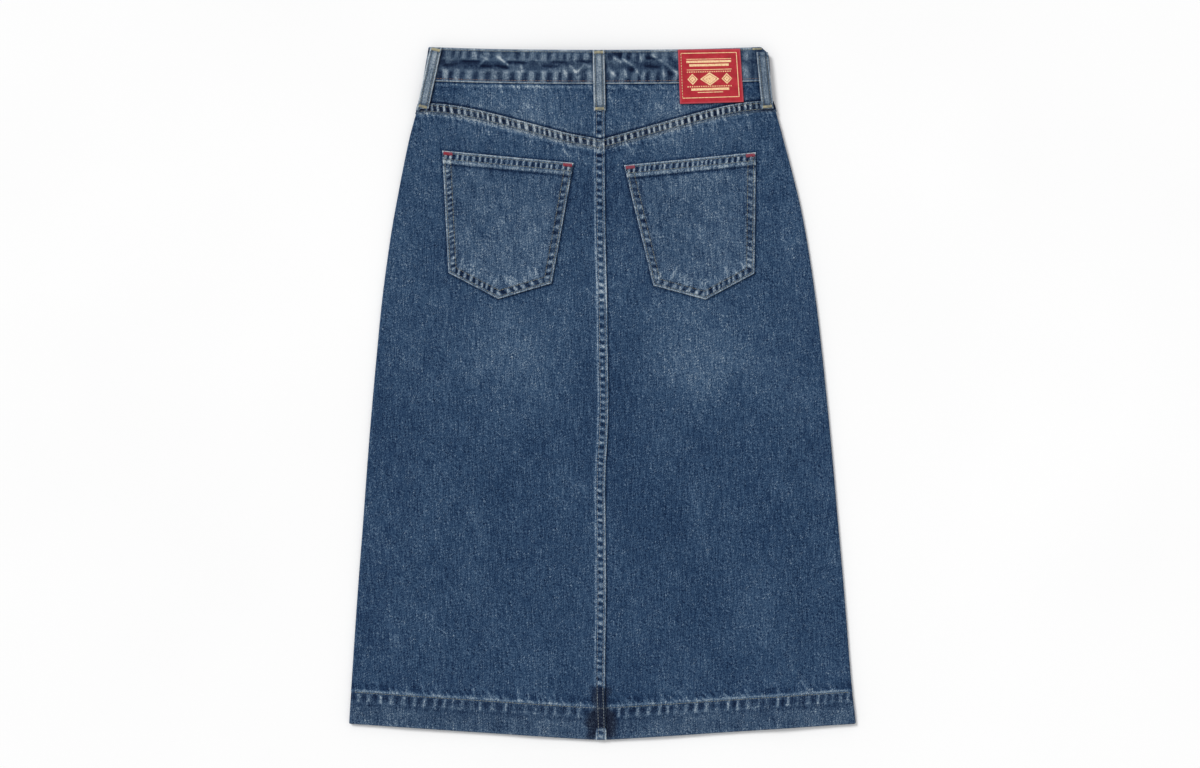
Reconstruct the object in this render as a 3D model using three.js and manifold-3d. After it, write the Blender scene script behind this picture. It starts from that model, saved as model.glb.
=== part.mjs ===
// A midi-length denim skirt, laid flat with its back upwards, in millimetres.
// +X is to the right, +Y runs to the waist and +Z points up, away from the table.
// The back is cut in two panels and two yokes, the front in two panels, and a waistband closes the top.
import * as THREE from "three";
import { mergeVertices } from "three/addons/utils/BufferGeometryUtils.js";
import Module from "manifold-3d";

// Cloth and seams
const CLOTH = 1.2; // one layer of denim
const SEAM_GAP = 0.3; // between pieces that are sewn together
const STEP = 0.7; // run of the slope at the edge of a raised seam
const FELL_WIDTH = 11.6; // flat-felled seam
const FELL_RISE = 1.1; // how far its folded layers stand over the panel
const FELL_HALF = FELL_WIDTH / 2;

// Outline
const WAIST_TOP = 388; // the waist at its side corners
const WAIST_DIP = 3.6; // how far the back waist dips at its centre
const FRONT_DIP = 12; // how much lower the front waist lies at its centre
const HEM_SIDE = -370; // the hem at its side corners
const HEM_DROP = 18; // how far the hem curves down at its centre
const HEM_ROUND = 0.05; // softens the hem's point at the centre, as a share of the half width
const BAND_HEIGHT = 38;
const BAND_RISE = 1; // the folded waistband is this much thicker than one layer
const BAND_TURN = 1.2; // the rounding of its folded top edge
const BAND_CORNER = 0.78; // how far up the right corner starts to round
const HEM_HEIGHT = 37;
const HEM_WALL = 2.4; // the hem's turned-up layers
const YOKE_CENTRE = 278; // the yoke seam at the centre back
const YOKE_SLOPE = 43.5; // how far it climbs to the side
const YOKE_FLATTEN = 0.3; // how much less it climbs near the side
const YOKE_SAG = 2.5; // how much lower it lies in the left half
const YOKE_SAG_FROM = { start: 0, end: 0.2 }; // as a share of that half

// Sections of the outline, from the waist to the hem
const SECTIONS = [
  { y: 388, left: -194, centre: -3.6, right: 177 },
  { y: 380, left: -195.2, centre: -3.6, right: 184.4 },
  { y: 368, left: -197.2, centre: -3.5, right: 186.4 },
  { y: 351, left: -200, centre: -3.5, right: 187.2 },
  { y: 334, left: -203.5, centre: -3.4, right: 189.4 },
  { y: 320, left: -207, centre: -3.4, right: 193 },
  { y: 284, left: -216.7, centre: -3.4, right: 202.8 },
  { y: 217, left: -230.2, centre: -3, right: 220.1 },
  { y: 172, left: -238, centre: -2.3, right: 229 },
  { y: 105, left: -247, centre: -0.6, right: 239.1 },
  { y: 37, left: -253.7, centre: 0.2, right: 247 },
  { y: -10, left: -257.95, centre: 0.9, right: 251.84 },
  { y: -52, left: -261.5, centre: -0.4, right: 255.9 },
  { y: -90, left: -264.4, centre: -2.5, right: 259.31 },
  { y: -142, left: -268.2, centre: -2.4, right: 263.8 },
  { y: -231, left: -275, centre: -1.8, right: 271.6 },
  { y: -321, left: -281, centre: -2.9, right: 278.7 },
  { y: -370, left: -284, centre: -1.5, right: 284 },
  { y: -388, left: -285, centre: -1.3, right: 285.6 },
];

// How high the layers lie
const BACK_HEIGHT = 4.3; // top of the back panels
const HEM_PAD = 0.9; // more over the turned-up hem
const HEM_FADE = 70; // the length that this takes to settle
const BACK_LIFT = 1.6; // more at the waist, over the folded band
const FRONT_LIFT = 2.9; // how far the front stands off the table there, on its loops
const CENTRE_HUMP = 3.2; // more at the centre, over the band's overlap
const BUTTON_LIFT = 1; // how far the button lifts the front
const OVERLAP_RISE = 2.5; // how far the right end of the front lies inside the left

// Where those heights start and end, along Y or out from the centre
const LIFT_FROM = { start: 140, end: 345 };
const FRONT_LIFT_FROM = { start: 140, end: 310 };
const HUMP_FROM = { start: 120, end: 305 };
const HUMP_ACROSS = { start: 25, end: 120 };
const BUTTON_ACROSS = { start: 20, end: 90 };
const RISE_FROM = { start: 210, end: 335 };
const RISE_ACROSS = { start: 20, end: 62 };

// Soft folds of the back, each a long low ridge between two points. They fade in along the first
// share of their length, and are calm next to the side folds.
const FOLD_FADE = 0.35;
const FOLD_CALM = { start: 2, end: 24 };
const FOLDS = [
  { x0: -150, y0: 60, x1: -196, y1: -372, half: 34, height: 0.9 },
  { x0: -62, y0: -40, x1: -78, y1: -384, half: 26, height: 0.7 },
  { x0: 74, y0: 40, x1: 66, y1: -384, half: 30, height: 0.8 },
  { x0: 176, y0: 90, x1: 206, y1: -374, half: 36, height: 1 },
  { x0: 190, y0: 210, x1: 200, y1: 20, half: 18, height: 0.6 },
  { x0: -205, y0: 200, x1: -226, y1: -90, half: 16, height: 0.5 },
];

// Patch pockets by their corners; outer is the corner towards the side
const POCKETS = {
  left: {
    outerTop: [-179.4, 271.9],
    innerTop: [-32.3, 257.8],
    innerBottom: [-56.9, 123.4],
    tip: [-116.7, 105.8],
    outerBottom: [-172.6, 135.1],
  },
  right: {
    outerTop: [171.7, 270],
    innerTop: [24.1, 255.2],
    innerBottom: [57, 120.8],
    tip: [115.4, 105.1],
    outerBottom: [170.1, 134.4],
  },
};
const POCKET_HEM = 0.095; // share of the pocket's length that is its folded hem
const POCKET_EDGE = 0.07; // share of its width or length that is its turned edge
const POCKET_STEP = 0.007; // share that the slope beside them takes
const POCKET_HEM_RISE = 1;
const POCKET_EDGE_RISE = 0.5;

// Belt loops: the middle of the top and bottom ends
const LOOP_WIDTH = 13;
const LOOP_WALL = 1.6;
const LOOP_ROWS = 4;
const BACK_LOOPS = {
  loop_centre: { top: [-4.4, 384], bottom: [-3.1, 316] },
  loop_side_left: { top: [-186.2, 387.2], bottom: [-201.2, 318.5] },
  loop_side_right: { top: [178.6, 382], bottom: [184.9, 318.5] },
};
const FRONT_LOOPS = {
  loop_front_left: { top: [-92, 378], bottom: [-95, 312] },
  loop_front_right: { top: [84, 378], bottom: [87, 312] },
};

// Patch on the waistband, by its corners
const PATCH = {
  topLeft: [84.3, 384.6],
  topRight: [154, 385.9],
  bottomRight: [158.1, 326.1],
  bottomLeft: [86.7, 323.8],
};
const PATCH_WALL = 1.3;

// Fly, zip and button
const FLY_EDGE = 4; // the left front's edge, past the centre line
const OVERLAP_END = 18; // the left band's end, past the centre line
const UNDERLAP_END = -14; // the right band's end
const ZIP = { left: -24, right: 2, bottom: 218, tape: 0.8, chain: 1.8, chainHalf: 3 };
const BUTTON = { cap: 17, face: 13, rise: 2.5, bevel: 1, lip: 0.5, shank: 4, pastCentre: 2 };
const BUTTONHOLE = { length: 20, width: 5 };

// Facets
const CURL_ANGLES = [0, 30, 60, 90]; // round the side folds, in degrees
const PANEL_COLUMNS = 18;
const FRONT_COLUMNS = 12;
const PANEL_ROWS = 20;
const FRONT_ROWS = 14;
const YOKE_ROWS = 3;
const BAND_COLUMNS = 34;
const FRONT_BAND_COLUMNS = 18;
const POCKET_CELLS = 10;
const PATCH_CELLS = 5;
const BUTTON_SIDES = 32;
const BUTTONHOLE_SIDES = 8; // round each end

const COLOURS = {
  denim: { color: 0x3f5a7c, roughness: 0.9, metalness: 0 },
  leather: { color: 0xb3202c, roughness: 0.55, metalness: 0 },
  brass: { color: 0x9a7b4f, roughness: 0.35, metalness: 1 },
};

const lerp = THREE.MathUtils.lerp;
const ramp = (value, { start, end }) => THREE.MathUtils.smoothstep(value, start, end);

// Smooth curve through one column of SECTIONS.
function section(key, y) {
  const last = SECTIONS.length - 1;
  let i = 0;
  while (i < last - 1 && y < SECTIONS[i + 1].y) i += 1;
  const a = SECTIONS[i];
  const b = SECTIONS[i + 1];
  const slope = (p, q) => (q[key] - p[key]) / (q.y - p.y);
  const before = i > 0 ? slope(SECTIONS[i - 1], b) : slope(a, b);
  const after = i + 2 <= last ? slope(a, SECTIONS[i + 2]) : slope(a, b);
  const span = b.y - a.y;
  const t = (y - a.y) / span;
  const rest = 1 - t;
  return (
    a[key] * (1 + 2 * t) * rest * rest +
    b[key] * t * t * (3 - 2 * t) +
    before * span * t * rest * rest -
    after * span * t * t * rest
  );
}

const leftEdge = (y) => section("left", y);
const rightEdge = (y) => section("right", y);
const centreLine = (y) => section("centre", y);

// Share of the half width at a point: -1 at the left edge, 0 at the centre, 1 at the right edge.
function shareAt(x, y) {
  const fromCentre = x - centreLine(y);
  const half = fromCentre < 0 ? centreLine(y) - leftEdge(y) : rightEdge(y) - centreLine(y);
  return fromCentre / half;
}

const waistLine = (s) => WAIST_TOP - WAIST_DIP * (1 - s * s);
const frontWaistLine = (s) => waistLine(s) - FRONT_DIP * (1 - s * s);
const hemShape = (s) => Math.hypot(s, HEM_ROUND) - HEM_ROUND;
const hemLine = (s) => HEM_SIDE - HEM_DROP * (1 - hemShape(s) / hemShape(1));
const yokeClimb = (s) => (1 + YOKE_FLATTEN) * s - YOKE_FLATTEN * s ** 5;
const yokeSag = (s) => YOKE_SAG * ramp(-s, YOKE_SAG_FROM);
const yokeSeam = (s) => YOKE_CENTRE + YOKE_SLOPE * yokeClimb(Math.min(1, Math.abs(s))) - yokeSag(s);

// Height of one soft fold at a point.
function foldHeight({ x0, y0, x1, y1, half, height }, x, y) {
  const along = ((x - x0) * (x1 - x0) + (y - y0) * (y1 - y0)) / ((x1 - x0) ** 2 + (y1 - y0) ** 2);
  const t = THREE.MathUtils.clamp(along, 0, 1);
  const away = Math.abs(x - lerp(x0, x1, t)) / half;
  const fadeIn = ramp(along, { start: 0, end: FOLD_FADE });
  return height * fadeIn * Math.exp(-away * away);
}

function frontHeight(x, y) {
  const out = Math.abs(x - centreLine(y));
  const lift = ramp(y, FRONT_LIFT_FROM);
  return lift * (FRONT_LIFT + BUTTON_LIFT * (1 - ramp(out, BUTTON_ACROSS)));
}

// The right front rises at the fly, where it lies inside the left front.
function rightFrontHeight(x, y) {
  const out = x - centreLine(y);
  return frontHeight(x, y) + OVERLAP_RISE * ramp(y, RISE_FROM) * (1 - ramp(out, RISE_ACROSS));
}

function backHeight(x, y) {
  const out = Math.abs(x - centreLine(y));
  const aboveHem = y - HEM_SIDE - HEM_HEIGHT / 2;
  const hemPad = HEM_PAD * (1 - ramp(aboveHem, { start: 0, end: HEM_FADE }));
  const hump = CENTRE_HUMP * ramp(y, HUMP_FROM) * (1 - ramp(out, HUMP_ACROSS));
  const folds = FOLDS.reduce((sum, fold) => sum + foldHeight(fold, x, y), 0);
  const edge = Math.min(x - leftEdge(y), rightEdge(y) - x);
  const lift = BACK_LIFT * ramp(y, LIFT_FROM);
  return BACK_HEIGHT + hemPad + lift + hump + folds * ramp(edge, FOLD_CALM);
}

// A layer of the flattened skirt. Its surface rolls over at the side folds, where it meets the other
// layer, and point() gives a place on its outer face moved out by a distance.
function makeLayer(height, facing) {
  const middle = (x, y) => (backHeight(x, y) + frontHeight(x, y)) / 2;
  const radius = (x, y) => Math.abs(height(x, y) - middle(x, y));
  function point(x, y, out) {
    const fromLeft = x - leftEdge(y);
    const fromRight = rightEdge(y) - x;
    const r = radius(x, y);
    const lean = Math.max(0, 1 - Math.min(fromLeft, fromRight) / r);
    const rise = Math.sqrt(1 - Math.min(1, lean) ** 2);
    const z = middle(x, y) + facing * (SEAM_GAP / 2 + (r - SEAM_GAP / 2) * rise);
    const normal = new THREE.Vector3(fromLeft < fromRight ? -lean : lean, 0, facing * rise);
    return new THREE.Vector3(x, y, z).addScaledVector(normal, out);
  }
  return { height, facing, radius, point };
}

const BACK = makeLayer(backHeight, 1);
const FRONT_LEFT = makeLayer(frontHeight, -1);
const FRONT_RIGHT = makeLayer(rightFrontHeight, -1);

// Closed solid between two grids of points, row by row; outer faces out of the garment.
function closedGrid(outer, inner, columns, facing) {
  const rows = outer.length / columns;
  const at = (row, column) => row * columns + column;
  const below = outer.length;
  const faces = [];
  const quad = (a, b, c, d) => faces.push(a, b, c, a, c, d);
  for (let row = 0; row < rows - 1; row += 1) {
    for (let column = 0; column < columns - 1; column += 1) {
      const corners = [at(row, column), at(row, column + 1), at(row + 1, column + 1), at(row + 1, column)];
      quad(...corners);
      quad(...corners.map((i) => i + below).reverse());
    }
  }
  const lastRow = rows - 1;
  const lastColumn = columns - 1;
  const rim = [];
  for (let column = 0; column < lastColumn; column += 1) rim.push(at(0, column));
  for (let row = 0; row < lastRow; row += 1) rim.push(at(row, lastColumn));
  for (let column = lastColumn; column > 0; column -= 1) rim.push(at(lastRow, column));
  for (let row = lastRow; row > 0; row -= 1) rim.push(at(row, 0));
  rim.forEach((p, i) => {
    const q = rim[(i + 1) % rim.length];
    quad(q, p, p + below, q + below);
  });
  if (facing < 0) faces.reverse();
  const geometry = new THREE.BufferGeometry().setFromPoints([...outer, ...inner]);
  geometry.setIndex(faces);
  geometry.computeVertexNormals();
  return geometry;
}

// Wall of cloth on a layer. A column has x(y), its share s and maybe a rise; a row has y(s), maybe a rise,
// and maybe its own wall. A rise stands out of the garment, and the wall goes in from the layer's face.
function clothWall(layer, columns, rows) {
  const outer = [];
  const inner = [];
  for (const row of rows) {
    for (const column of columns) {
      const y = row.y(column.s);
      const x = column.x(y);
      outer.push(layer.point(x, y, Math.max(row.rise ?? 0, column.rise ?? 0)));
      inner.push(layer.point(x, y, -(row.wall ?? CLOTH)));
    }
  }
  return closedGrid(outer, inner, columns.length, layer.facing);
}

// Sheet between four corners on a layer, its underside and its top moved out by the given functions.
function laidSheet(layer, plan, across, down, under, top) {
  const outer = [];
  const inner = [];
  for (const v of down) {
    for (const u of across) {
      const [x, y] = plan(u, v);
      inner.push(layer.point(x, y, under(u, v, y)));
      outer.push(layer.point(x, y, under(u, v, y) + top(u, v)));
    }
  }
  return closedGrid(outer, inner, across.length, layer.facing);
}

const evenly = (count) => Array.from({ length: count + 1 }, (_, i) => i / count);
const column = (x, rise = 0) => ({ x, rise, s: shareAt(x(0), 0) });
const rowAt = (y, rise = 0, wall = CLOTH) => ({ y, rise, wall });

// Columns that roll round a side fold, from the edge inwards.
function curlColumns(layer, side, rise = 0) {
  const edge = side < 0 ? leftEdge : rightEdge;
  return CURL_ANGLES.map((degrees) => {
    const share = 1 - Math.cos(THREE.MathUtils.degToRad(degrees));
    return { x: (y) => edge(y) - side * share * layer.radius(edge(y), y), rise, s: side };
  });
}

// Columns from one line to another, without the first.
function columnsBetween(from, to, count, rise = 0) {
  return evenly(count)
    .slice(1)
    .map((t) => column((y) => lerp(from(y), to(y), t), rise));
}

const fellStart = (y) => centreLine(y) - FELL_HALF;
const fellEnd = (y) => centreLine(y) + FELL_HALF;
const pastFell = (y) => fellEnd(y) + SEAM_GAP;

// The left back pieces carry the centre seam as a raised strip along their inner edge.
function backColumns(side, count) {
  const curl = curlColumns(BACK, side);
  const start = curl[curl.length - 1].x;
  if (side < 0) {
    const foot = (y) => fellStart(y) - STEP;
    return [
      ...curl,
      ...columnsBetween(start, foot, count),
      column(fellStart, FELL_RISE),
      column(centreLine, FELL_RISE),
      column(fellEnd, FELL_RISE),
    ];
  }
  return [...columnsBetween(start, pastFell, count).reverse(), ...curl.reverse()];
}

const hemRows = () => [
  rowAt(hemLine, 0, HEM_WALL),
  rowAt((s) => hemLine(s) + HEM_HEIGHT / 2, 0, HEM_WALL),
  rowAt((s) => hemLine(s) + HEM_HEIGHT, 0, HEM_WALL),
];

// Rows from one line up to another, without either end.
function rowsBetween(from, to, count) {
  return evenly(count)
    .slice(1, -1)
    .map((t) => rowAt((s) => lerp(from(s), to(s), t)));
}

const aboveHem = (s) => hemLine(s) + HEM_HEIGHT + STEP;

function backPanel(side) {
  const seamTop = (s) => yokeSeam(s) + FELL_WIDTH / 2;
  const seamFoot = (s) => yokeSeam(s) - FELL_WIDTH / 2 - STEP;
  const rows = [
    ...hemRows(),
    rowAt(aboveHem),
    ...rowsBetween(aboveHem, seamFoot, PANEL_ROWS),
    rowAt(seamFoot),
    rowAt((s) => seamFoot(s) + STEP, FELL_RISE),
    rowAt(seamTop, FELL_RISE),
  ];
  return clothWall(BACK, backColumns(side, PANEL_COLUMNS), rows);
}

const bandBottom = (s) => waistLine(s) - BAND_HEIGHT;
const frontBandBottom = (s) => frontWaistLine(s) - BAND_HEIGHT;

function yoke(side) {
  const bottom = (s) => yokeSeam(s) + FELL_WIDTH / 2 + SEAM_GAP;
  const top = (s) => bandBottom(s) - SEAM_GAP;
  const rows = [rowAt(bottom), ...rowsBetween(bottom, top, YOKE_ROWS), rowAt(top)];
  return clothWall(BACK, backColumns(side, PANEL_COLUMNS), rows);
}

function bandRows(bottom, top) {
  return [
    rowAt(bottom, BAND_RISE),
    rowAt((s) => lerp(bottom(s), top(s), 0.5), BAND_RISE),
    rowAt((s) => lerp(bottom(s), top(s), BAND_CORNER), BAND_RISE),
    rowAt((s) => top(s) - BAND_TURN, BAND_RISE),
    rowAt(top, BAND_RISE / 2, CLOTH / 2),
  ];
}

function backBand() {
  const left = curlColumns(BACK, -1, BAND_RISE);
  const right = curlColumns(BACK, 1, BAND_RISE);
  const from = left[left.length - 1].x;
  const to = right[right.length - 1].x;
  const between = columnsBetween(from, to, BAND_COLUMNS, BAND_RISE).slice(0, -1);
  return clothWall(BACK, [...left, ...between, ...right.reverse()], bandRows(bandBottom, waistLine));
}

// Columns of a front piece, from its side fold to the line where it ends near the centre.
function frontColumns(layer, side, end, count) {
  const curl = curlColumns(layer, side);
  const inwards = columnsBetween(curl[curl.length - 1].x, end, count);
  const columns = [...curl, ...inwards];
  return side < 0 ? columns : columns.reverse();
}

function frontPanel(side) {
  const layer = side < 0 ? FRONT_LEFT : FRONT_RIGHT;
  const end = (y) => centreLine(y) + FLY_EDGE + (side < 0 ? 0 : SEAM_GAP);
  const top = (s) => frontBandBottom(s) - SEAM_GAP;
  const rows = [...hemRows(), rowAt(aboveHem), ...rowsBetween(aboveHem, top, FRONT_ROWS), rowAt(top)];
  return clothWall(layer, frontColumns(layer, side, end, FRONT_COLUMNS), rows);
}

function frontBand(side) {
  const layer = side < 0 ? FRONT_LEFT : FRONT_RIGHT;
  const end = (y) => centreLine(y) + (side < 0 ? OVERLAP_END : UNDERLAP_END);
  const columns = frontColumns(layer, side, end, FRONT_BAND_COLUMNS);
  return clothWall(layer, columns, bandRows(frontBandBottom, frontWaistLine));
}

const mix = ([ax, ay], [bx, by], t) => [lerp(ax, bx, t), lerp(ay, by, t)];

// The pocket is a five-sided patch. Its folded hem and its turned edges stand a little higher.
function pocket(corners) {
  const bottomAt = (u) =>
    u < 0.5
      ? mix(corners.outerBottom, corners.tip, 2 * u)
      : mix(corners.tip, corners.innerBottom, 2 * u - 1);
  const plan = (u, v) => mix(bottomAt(u), mix(corners.outerTop, corners.innerTop, u), v);
  const cells = evenly(POCKET_CELLS).filter((t) => t > 2 * POCKET_EDGE && t < 1 - 2 * POCKET_EDGE);
  const turned = [0, POCKET_EDGE, POCKET_EDGE + POCKET_STEP];
  const across = [...turned, ...cells, ...turned.map((t) => 1 - t).reverse()];
  const up = [...turned, ...cells, 1 - POCKET_HEM - POCKET_STEP, 1 - POCKET_HEM, 1];
  const inEdge = (u, v) => Math.min(u, 1 - u, v) <= POCKET_EDGE + POCKET_STEP / 2;
  const inHem = (v) => v >= 1 - POCKET_HEM - POCKET_STEP / 2;
  const rise = (u, v) => (inHem(v) ? POCKET_HEM_RISE : inEdge(u, v) ? POCKET_EDGE_RISE : 0);
  const columns = corners.outerTop[0] < corners.innerTop[0] ? across : [...across].reverse();
  return laidSheet(BACK, plan, columns, up, () => SEAM_GAP, (u, v) => CLOTH + rise(u, v));
}

// The stiff patch lies flat on the band and on the yoke's upper part.
function patch() {
  const bottom = (u) => mix(PATCH.bottomLeft, PATCH.bottomRight, u);
  const top = (u) => mix(PATCH.topLeft, PATCH.topRight, u);
  const plan = (u, v) => mix(bottom(u), top(u), v);
  const seat = Math.max(BAND_RISE, FELL_RISE) + SEAM_GAP;
  const cells = evenly(PATCH_CELLS);
  return laidSheet(BACK, plan, cells, evenly(2 * PATCH_CELLS), () => seat, () => PATCH_WALL);
}

// A belt loop is a flat strap held at its two ends, so it runs straight between them.
function beltLoop(layer, { top, bottom }, topRise, bottomRise) {
  const aside = LOOP_WIDTH / 2;
  const heightAt = ([x, y], rise) => layer.height(x, y) + layer.facing * (rise + SEAM_GAP);
  const highEnd = heightAt(top, topRise);
  const lowEnd = heightAt(bottom, bottomRise);
  const outer = [];
  const inner = [];
  for (const v of evenly(LOOP_ROWS)) {
    const [x, y] = mix(bottom, top, v);
    const z = lerp(lowEnd, highEnd, v);
    for (const dx of [-aside, aside]) {
      inner.push(new THREE.Vector3(x + dx, y, z));
      outer.push(new THREE.Vector3(x + dx, y, z + layer.facing * LOOP_WALL));
    }
  }
  return closedGrid(outer, inner, 2, layer.facing);
}

// The closed zip hangs inside the left front, next to its edge: two tapes with the chain raised between.
function zip() {
  const middle = (ZIP.left + ZIP.right) / 2;
  const lines = [
    [ZIP.left, 0],
    [middle - ZIP.chainHalf - STEP, 0],
    [middle - ZIP.chainHalf, 1],
    [middle + ZIP.chainHalf, 1],
    [middle + ZIP.chainHalf + STEP, 0],
    [ZIP.right, 0],
  ];
  const top = frontBandBottom(0) - SEAM_GAP;
  const face = -(CLOTH + SEAM_GAP);
  const outer = [];
  const inner = [];
  for (const v of evenly(FRONT_ROWS)) {
    const y = lerp(ZIP.bottom, top, v);
    for (const [offset, isChain] of lines) {
      const x = centreLine(y) + offset;
      outer.push(FRONT_LEFT.point(x, y, face));
      inner.push(FRONT_LEFT.point(x, y, face - (isChain ? ZIP.chain : ZIP.tape)));
    }
  }
  return closedGrid(outer, inner, lines.length, -1);
}

const buttonCentre = () => {
  const y = frontWaistLine(0) - BAND_HEIGHT / 2;
  return [centreLine(y) + BUTTON.pastCentre, y];
};

// The button's cap lies under the left band, and its shank goes through the buttonhole to its seat on
// the right band's end.
function button() {
  const [x, y] = buttonCentre();
  const seat = rightFrontHeight(x, y) - BAND_RISE - SEAM_GAP;
  const half = (width) => width / 2;
  const profile = [
    [0, 0],
    [half(BUTTON.face), 0],
    [half(BUTTON.cap), BUTTON.bevel],
    [half(BUTTON.cap) - BUTTON.lip, BUTTON.rise],
    [half(BUTTON.shank), BUTTON.rise],
    [half(BUTTON.shank), seat],
    [0, seat],
  ].map(([r, h]) => new THREE.Vector2(r, h));
  const geometry = new THREE.LatheGeometry(profile, BUTTON_SIDES);
  geometry.rotateX(Math.PI / 2);
  geometry.translate(x, y, 0);
  return geometry;
}

const wasm = await Module();
wasm.setup();

// Shared vertices merged, as a solid that can be cut.
function toSolid(geometry) {
  const bare = geometry.clone();
  bare.deleteAttribute("normal");
  bare.deleteAttribute("uv");
  const merged = mergeVertices(bare, 1e-4);
  return new wasm.Manifold(
    new wasm.Mesh({
      numProp: 3,
      vertProperties: new Float32Array(merged.attributes.position.array),
      triVerts: new Uint32Array(merged.index.array),
    }),
  );
}

function toGeometry(solid) {
  const mesh = solid.getMesh();
  const geometry = new THREE.BufferGeometry();
  geometry.setAttribute("position", new THREE.BufferAttribute(mesh.vertProperties, 3));
  geometry.setIndex(new THREE.BufferAttribute(mesh.triVerts, 1));
  geometry.computeVertexNormals();
  return geometry;
}

// Buttonhole with round ends, through the left end of the band.
function withButtonhole(band) {
  const [x, y] = buttonCentre();
  const reach = (BUTTONHOLE.length - BUTTONHOLE.width) / 2;
  const radius = BUTTONHOLE.width / 2;
  const slot = new THREE.Shape();
  slot.absarc(reach, 0, radius, -Math.PI / 2, Math.PI / 2, false);
  slot.absarc(-reach, 0, radius, Math.PI / 2, (3 * Math.PI) / 2, false);
  const depth = frontHeight(x, y) + CLOTH + BAND_RISE;
  const options = { depth, bevelEnabled: false, curveSegments: BUTTONHOLE_SIDES };
  const cutter = new THREE.ExtrudeGeometry(slot, options);
  cutter.translate(x, y, 0);
  return toGeometry(toSolid(band).subtract(toSolid(cutter)));
}

const skirt = new THREE.Group();

function add(name, geometry, finish) {
  const mesh = new THREE.Mesh(geometry, new THREE.MeshStandardMaterial(COLOURS[finish]));
  mesh.name = name;
  skirt.add(mesh);
}

for (const [name, side] of [["left", -1], ["right", 1]]) {
  add(`back_${name}`, backPanel(side), "denim");
  add(`yoke_${name}`, yoke(side), "denim");
  add(`front_${name}`, frontPanel(side), "denim");
  add(`pocket_${name}`, pocket(POCKETS[name]), "denim");
}
add("waistband_back", backBand(), "denim");
add("waistband_front_left", withButtonhole(frontBand(-1)), "denim");
add("waistband_front_right", frontBand(1), "denim");
for (const [name, ends] of Object.entries(BACK_LOOPS)) {
  add(name, beltLoop(BACK, ends, BAND_RISE, FELL_RISE), "denim");
}
for (const [name, ends] of Object.entries(FRONT_LOOPS)) {
  add(name, beltLoop(FRONT_LEFT, ends, BAND_RISE, BAND_RISE), "denim");
}
add("patch", patch(), "leather");
add("zip", zip(), "brass");
add("button", button(), "brass");

export default skirt;
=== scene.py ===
# A midi-length denim skirt, laid flat with its back upwards.
# Shapes are worked out in millimetres, in the frame of the solids, and become metres when a mesh is made.
import math

import bpy
import numpy as np
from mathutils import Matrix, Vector
from mathutils.bvhtree import BVHTree


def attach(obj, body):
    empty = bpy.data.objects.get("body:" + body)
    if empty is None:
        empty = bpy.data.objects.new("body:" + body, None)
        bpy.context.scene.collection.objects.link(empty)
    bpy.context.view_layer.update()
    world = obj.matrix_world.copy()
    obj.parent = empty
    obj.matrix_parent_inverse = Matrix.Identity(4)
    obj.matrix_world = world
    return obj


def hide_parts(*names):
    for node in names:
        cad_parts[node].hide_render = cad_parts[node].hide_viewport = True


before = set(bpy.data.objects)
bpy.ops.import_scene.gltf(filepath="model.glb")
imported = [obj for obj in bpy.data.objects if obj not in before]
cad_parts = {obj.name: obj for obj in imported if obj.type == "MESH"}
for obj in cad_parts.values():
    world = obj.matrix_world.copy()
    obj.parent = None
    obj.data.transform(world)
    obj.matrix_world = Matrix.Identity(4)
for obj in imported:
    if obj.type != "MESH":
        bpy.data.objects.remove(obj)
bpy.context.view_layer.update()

MM = 0.001

# Cloth and seams
CLOTH = 1.2
SEAM_GAP = 0.3
FELL_WIDTH = 11.6
FELL_RISE = 1.1
FELL_HALF = FELL_WIDTH / 2
ROW_ASIDE = 3.2  # each topstitched row of a felled seam, from its middle

# Outline
WAIST_TOP = 388
WAIST_DIP = 3.6
FRONT_DIP = 12
HEM_SIDE = -370
HEM_DROP = 18
HEM_ROUND = 0.05
HEM_HEIGHT = 37
HEM_ROW = HEM_HEIGHT - 1.2  # the hem's topstitched row, over the hem line
HEM_WALL = 2.4
BAND_HEIGHT = 38
BAND_RISE = 1
YOKE_CENTRE = 278
YOKE_SLOPE = 43.5
YOKE_FLATTEN = 0.3
YOKE_SAG = 2.5
YOKE_SAG_FROM = (0, 0.2)

# Sections of the outline from the hem to the waist: y, left edge, centre line, right edge
SECTIONS = np.array([
    (-388, -285, -1.3, 285.6),
    (-370, -284, -1.5, 284),
    (-321, -281, -2.9, 278.7),
    (-231, -275, -1.8, 271.6),
    (-142, -268.2, -2.4, 263.8),
    (-90, -264.4, -2.5, 259.31),
    (-52, -261.5, -0.4, 255.9),
    (-10, -257.95, 0.9, 251.84),
    (37, -253.7, 0.2, 247),
    (105, -247, -0.6, 239.1),
    (172, -238, -2.3, 229),
    (217, -230.2, -3, 220.1),
    (284, -216.7, -3.4, 202.8),
    (320, -207, -3.4, 193),
    (334, -203.5, -3.4, 189.4),
    (351, -200, -3.5, 187.2),
    (368, -197.2, -3.5, 186.4),
    (380, -195.2, -3.6, 184.4),
    (388, -194, -3.6, 177),
], float)
LEFT, CENTRE, RIGHT = 1, 2, 3

# How high the layers lie
BACK_HEIGHT = 4.3
HEM_PAD = 0.9
HEM_FADE = 70
BACK_LIFT = 1.6
FRONT_LIFT = 2.9
CENTRE_HUMP = 3.2
BUTTON_LIFT = 1
OVERLAP_RISE = 2.5
LIFT_FROM = (140, 345)
FRONT_LIFT_FROM = (140, 310)
HUMP_FROM = (120, 305)
HUMP_ACROSS = (25, 120)
BUTTON_ACROSS = (20, 90)
RISE_FROM = (210, 335)
RISE_ACROSS = (20, 62)

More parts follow.
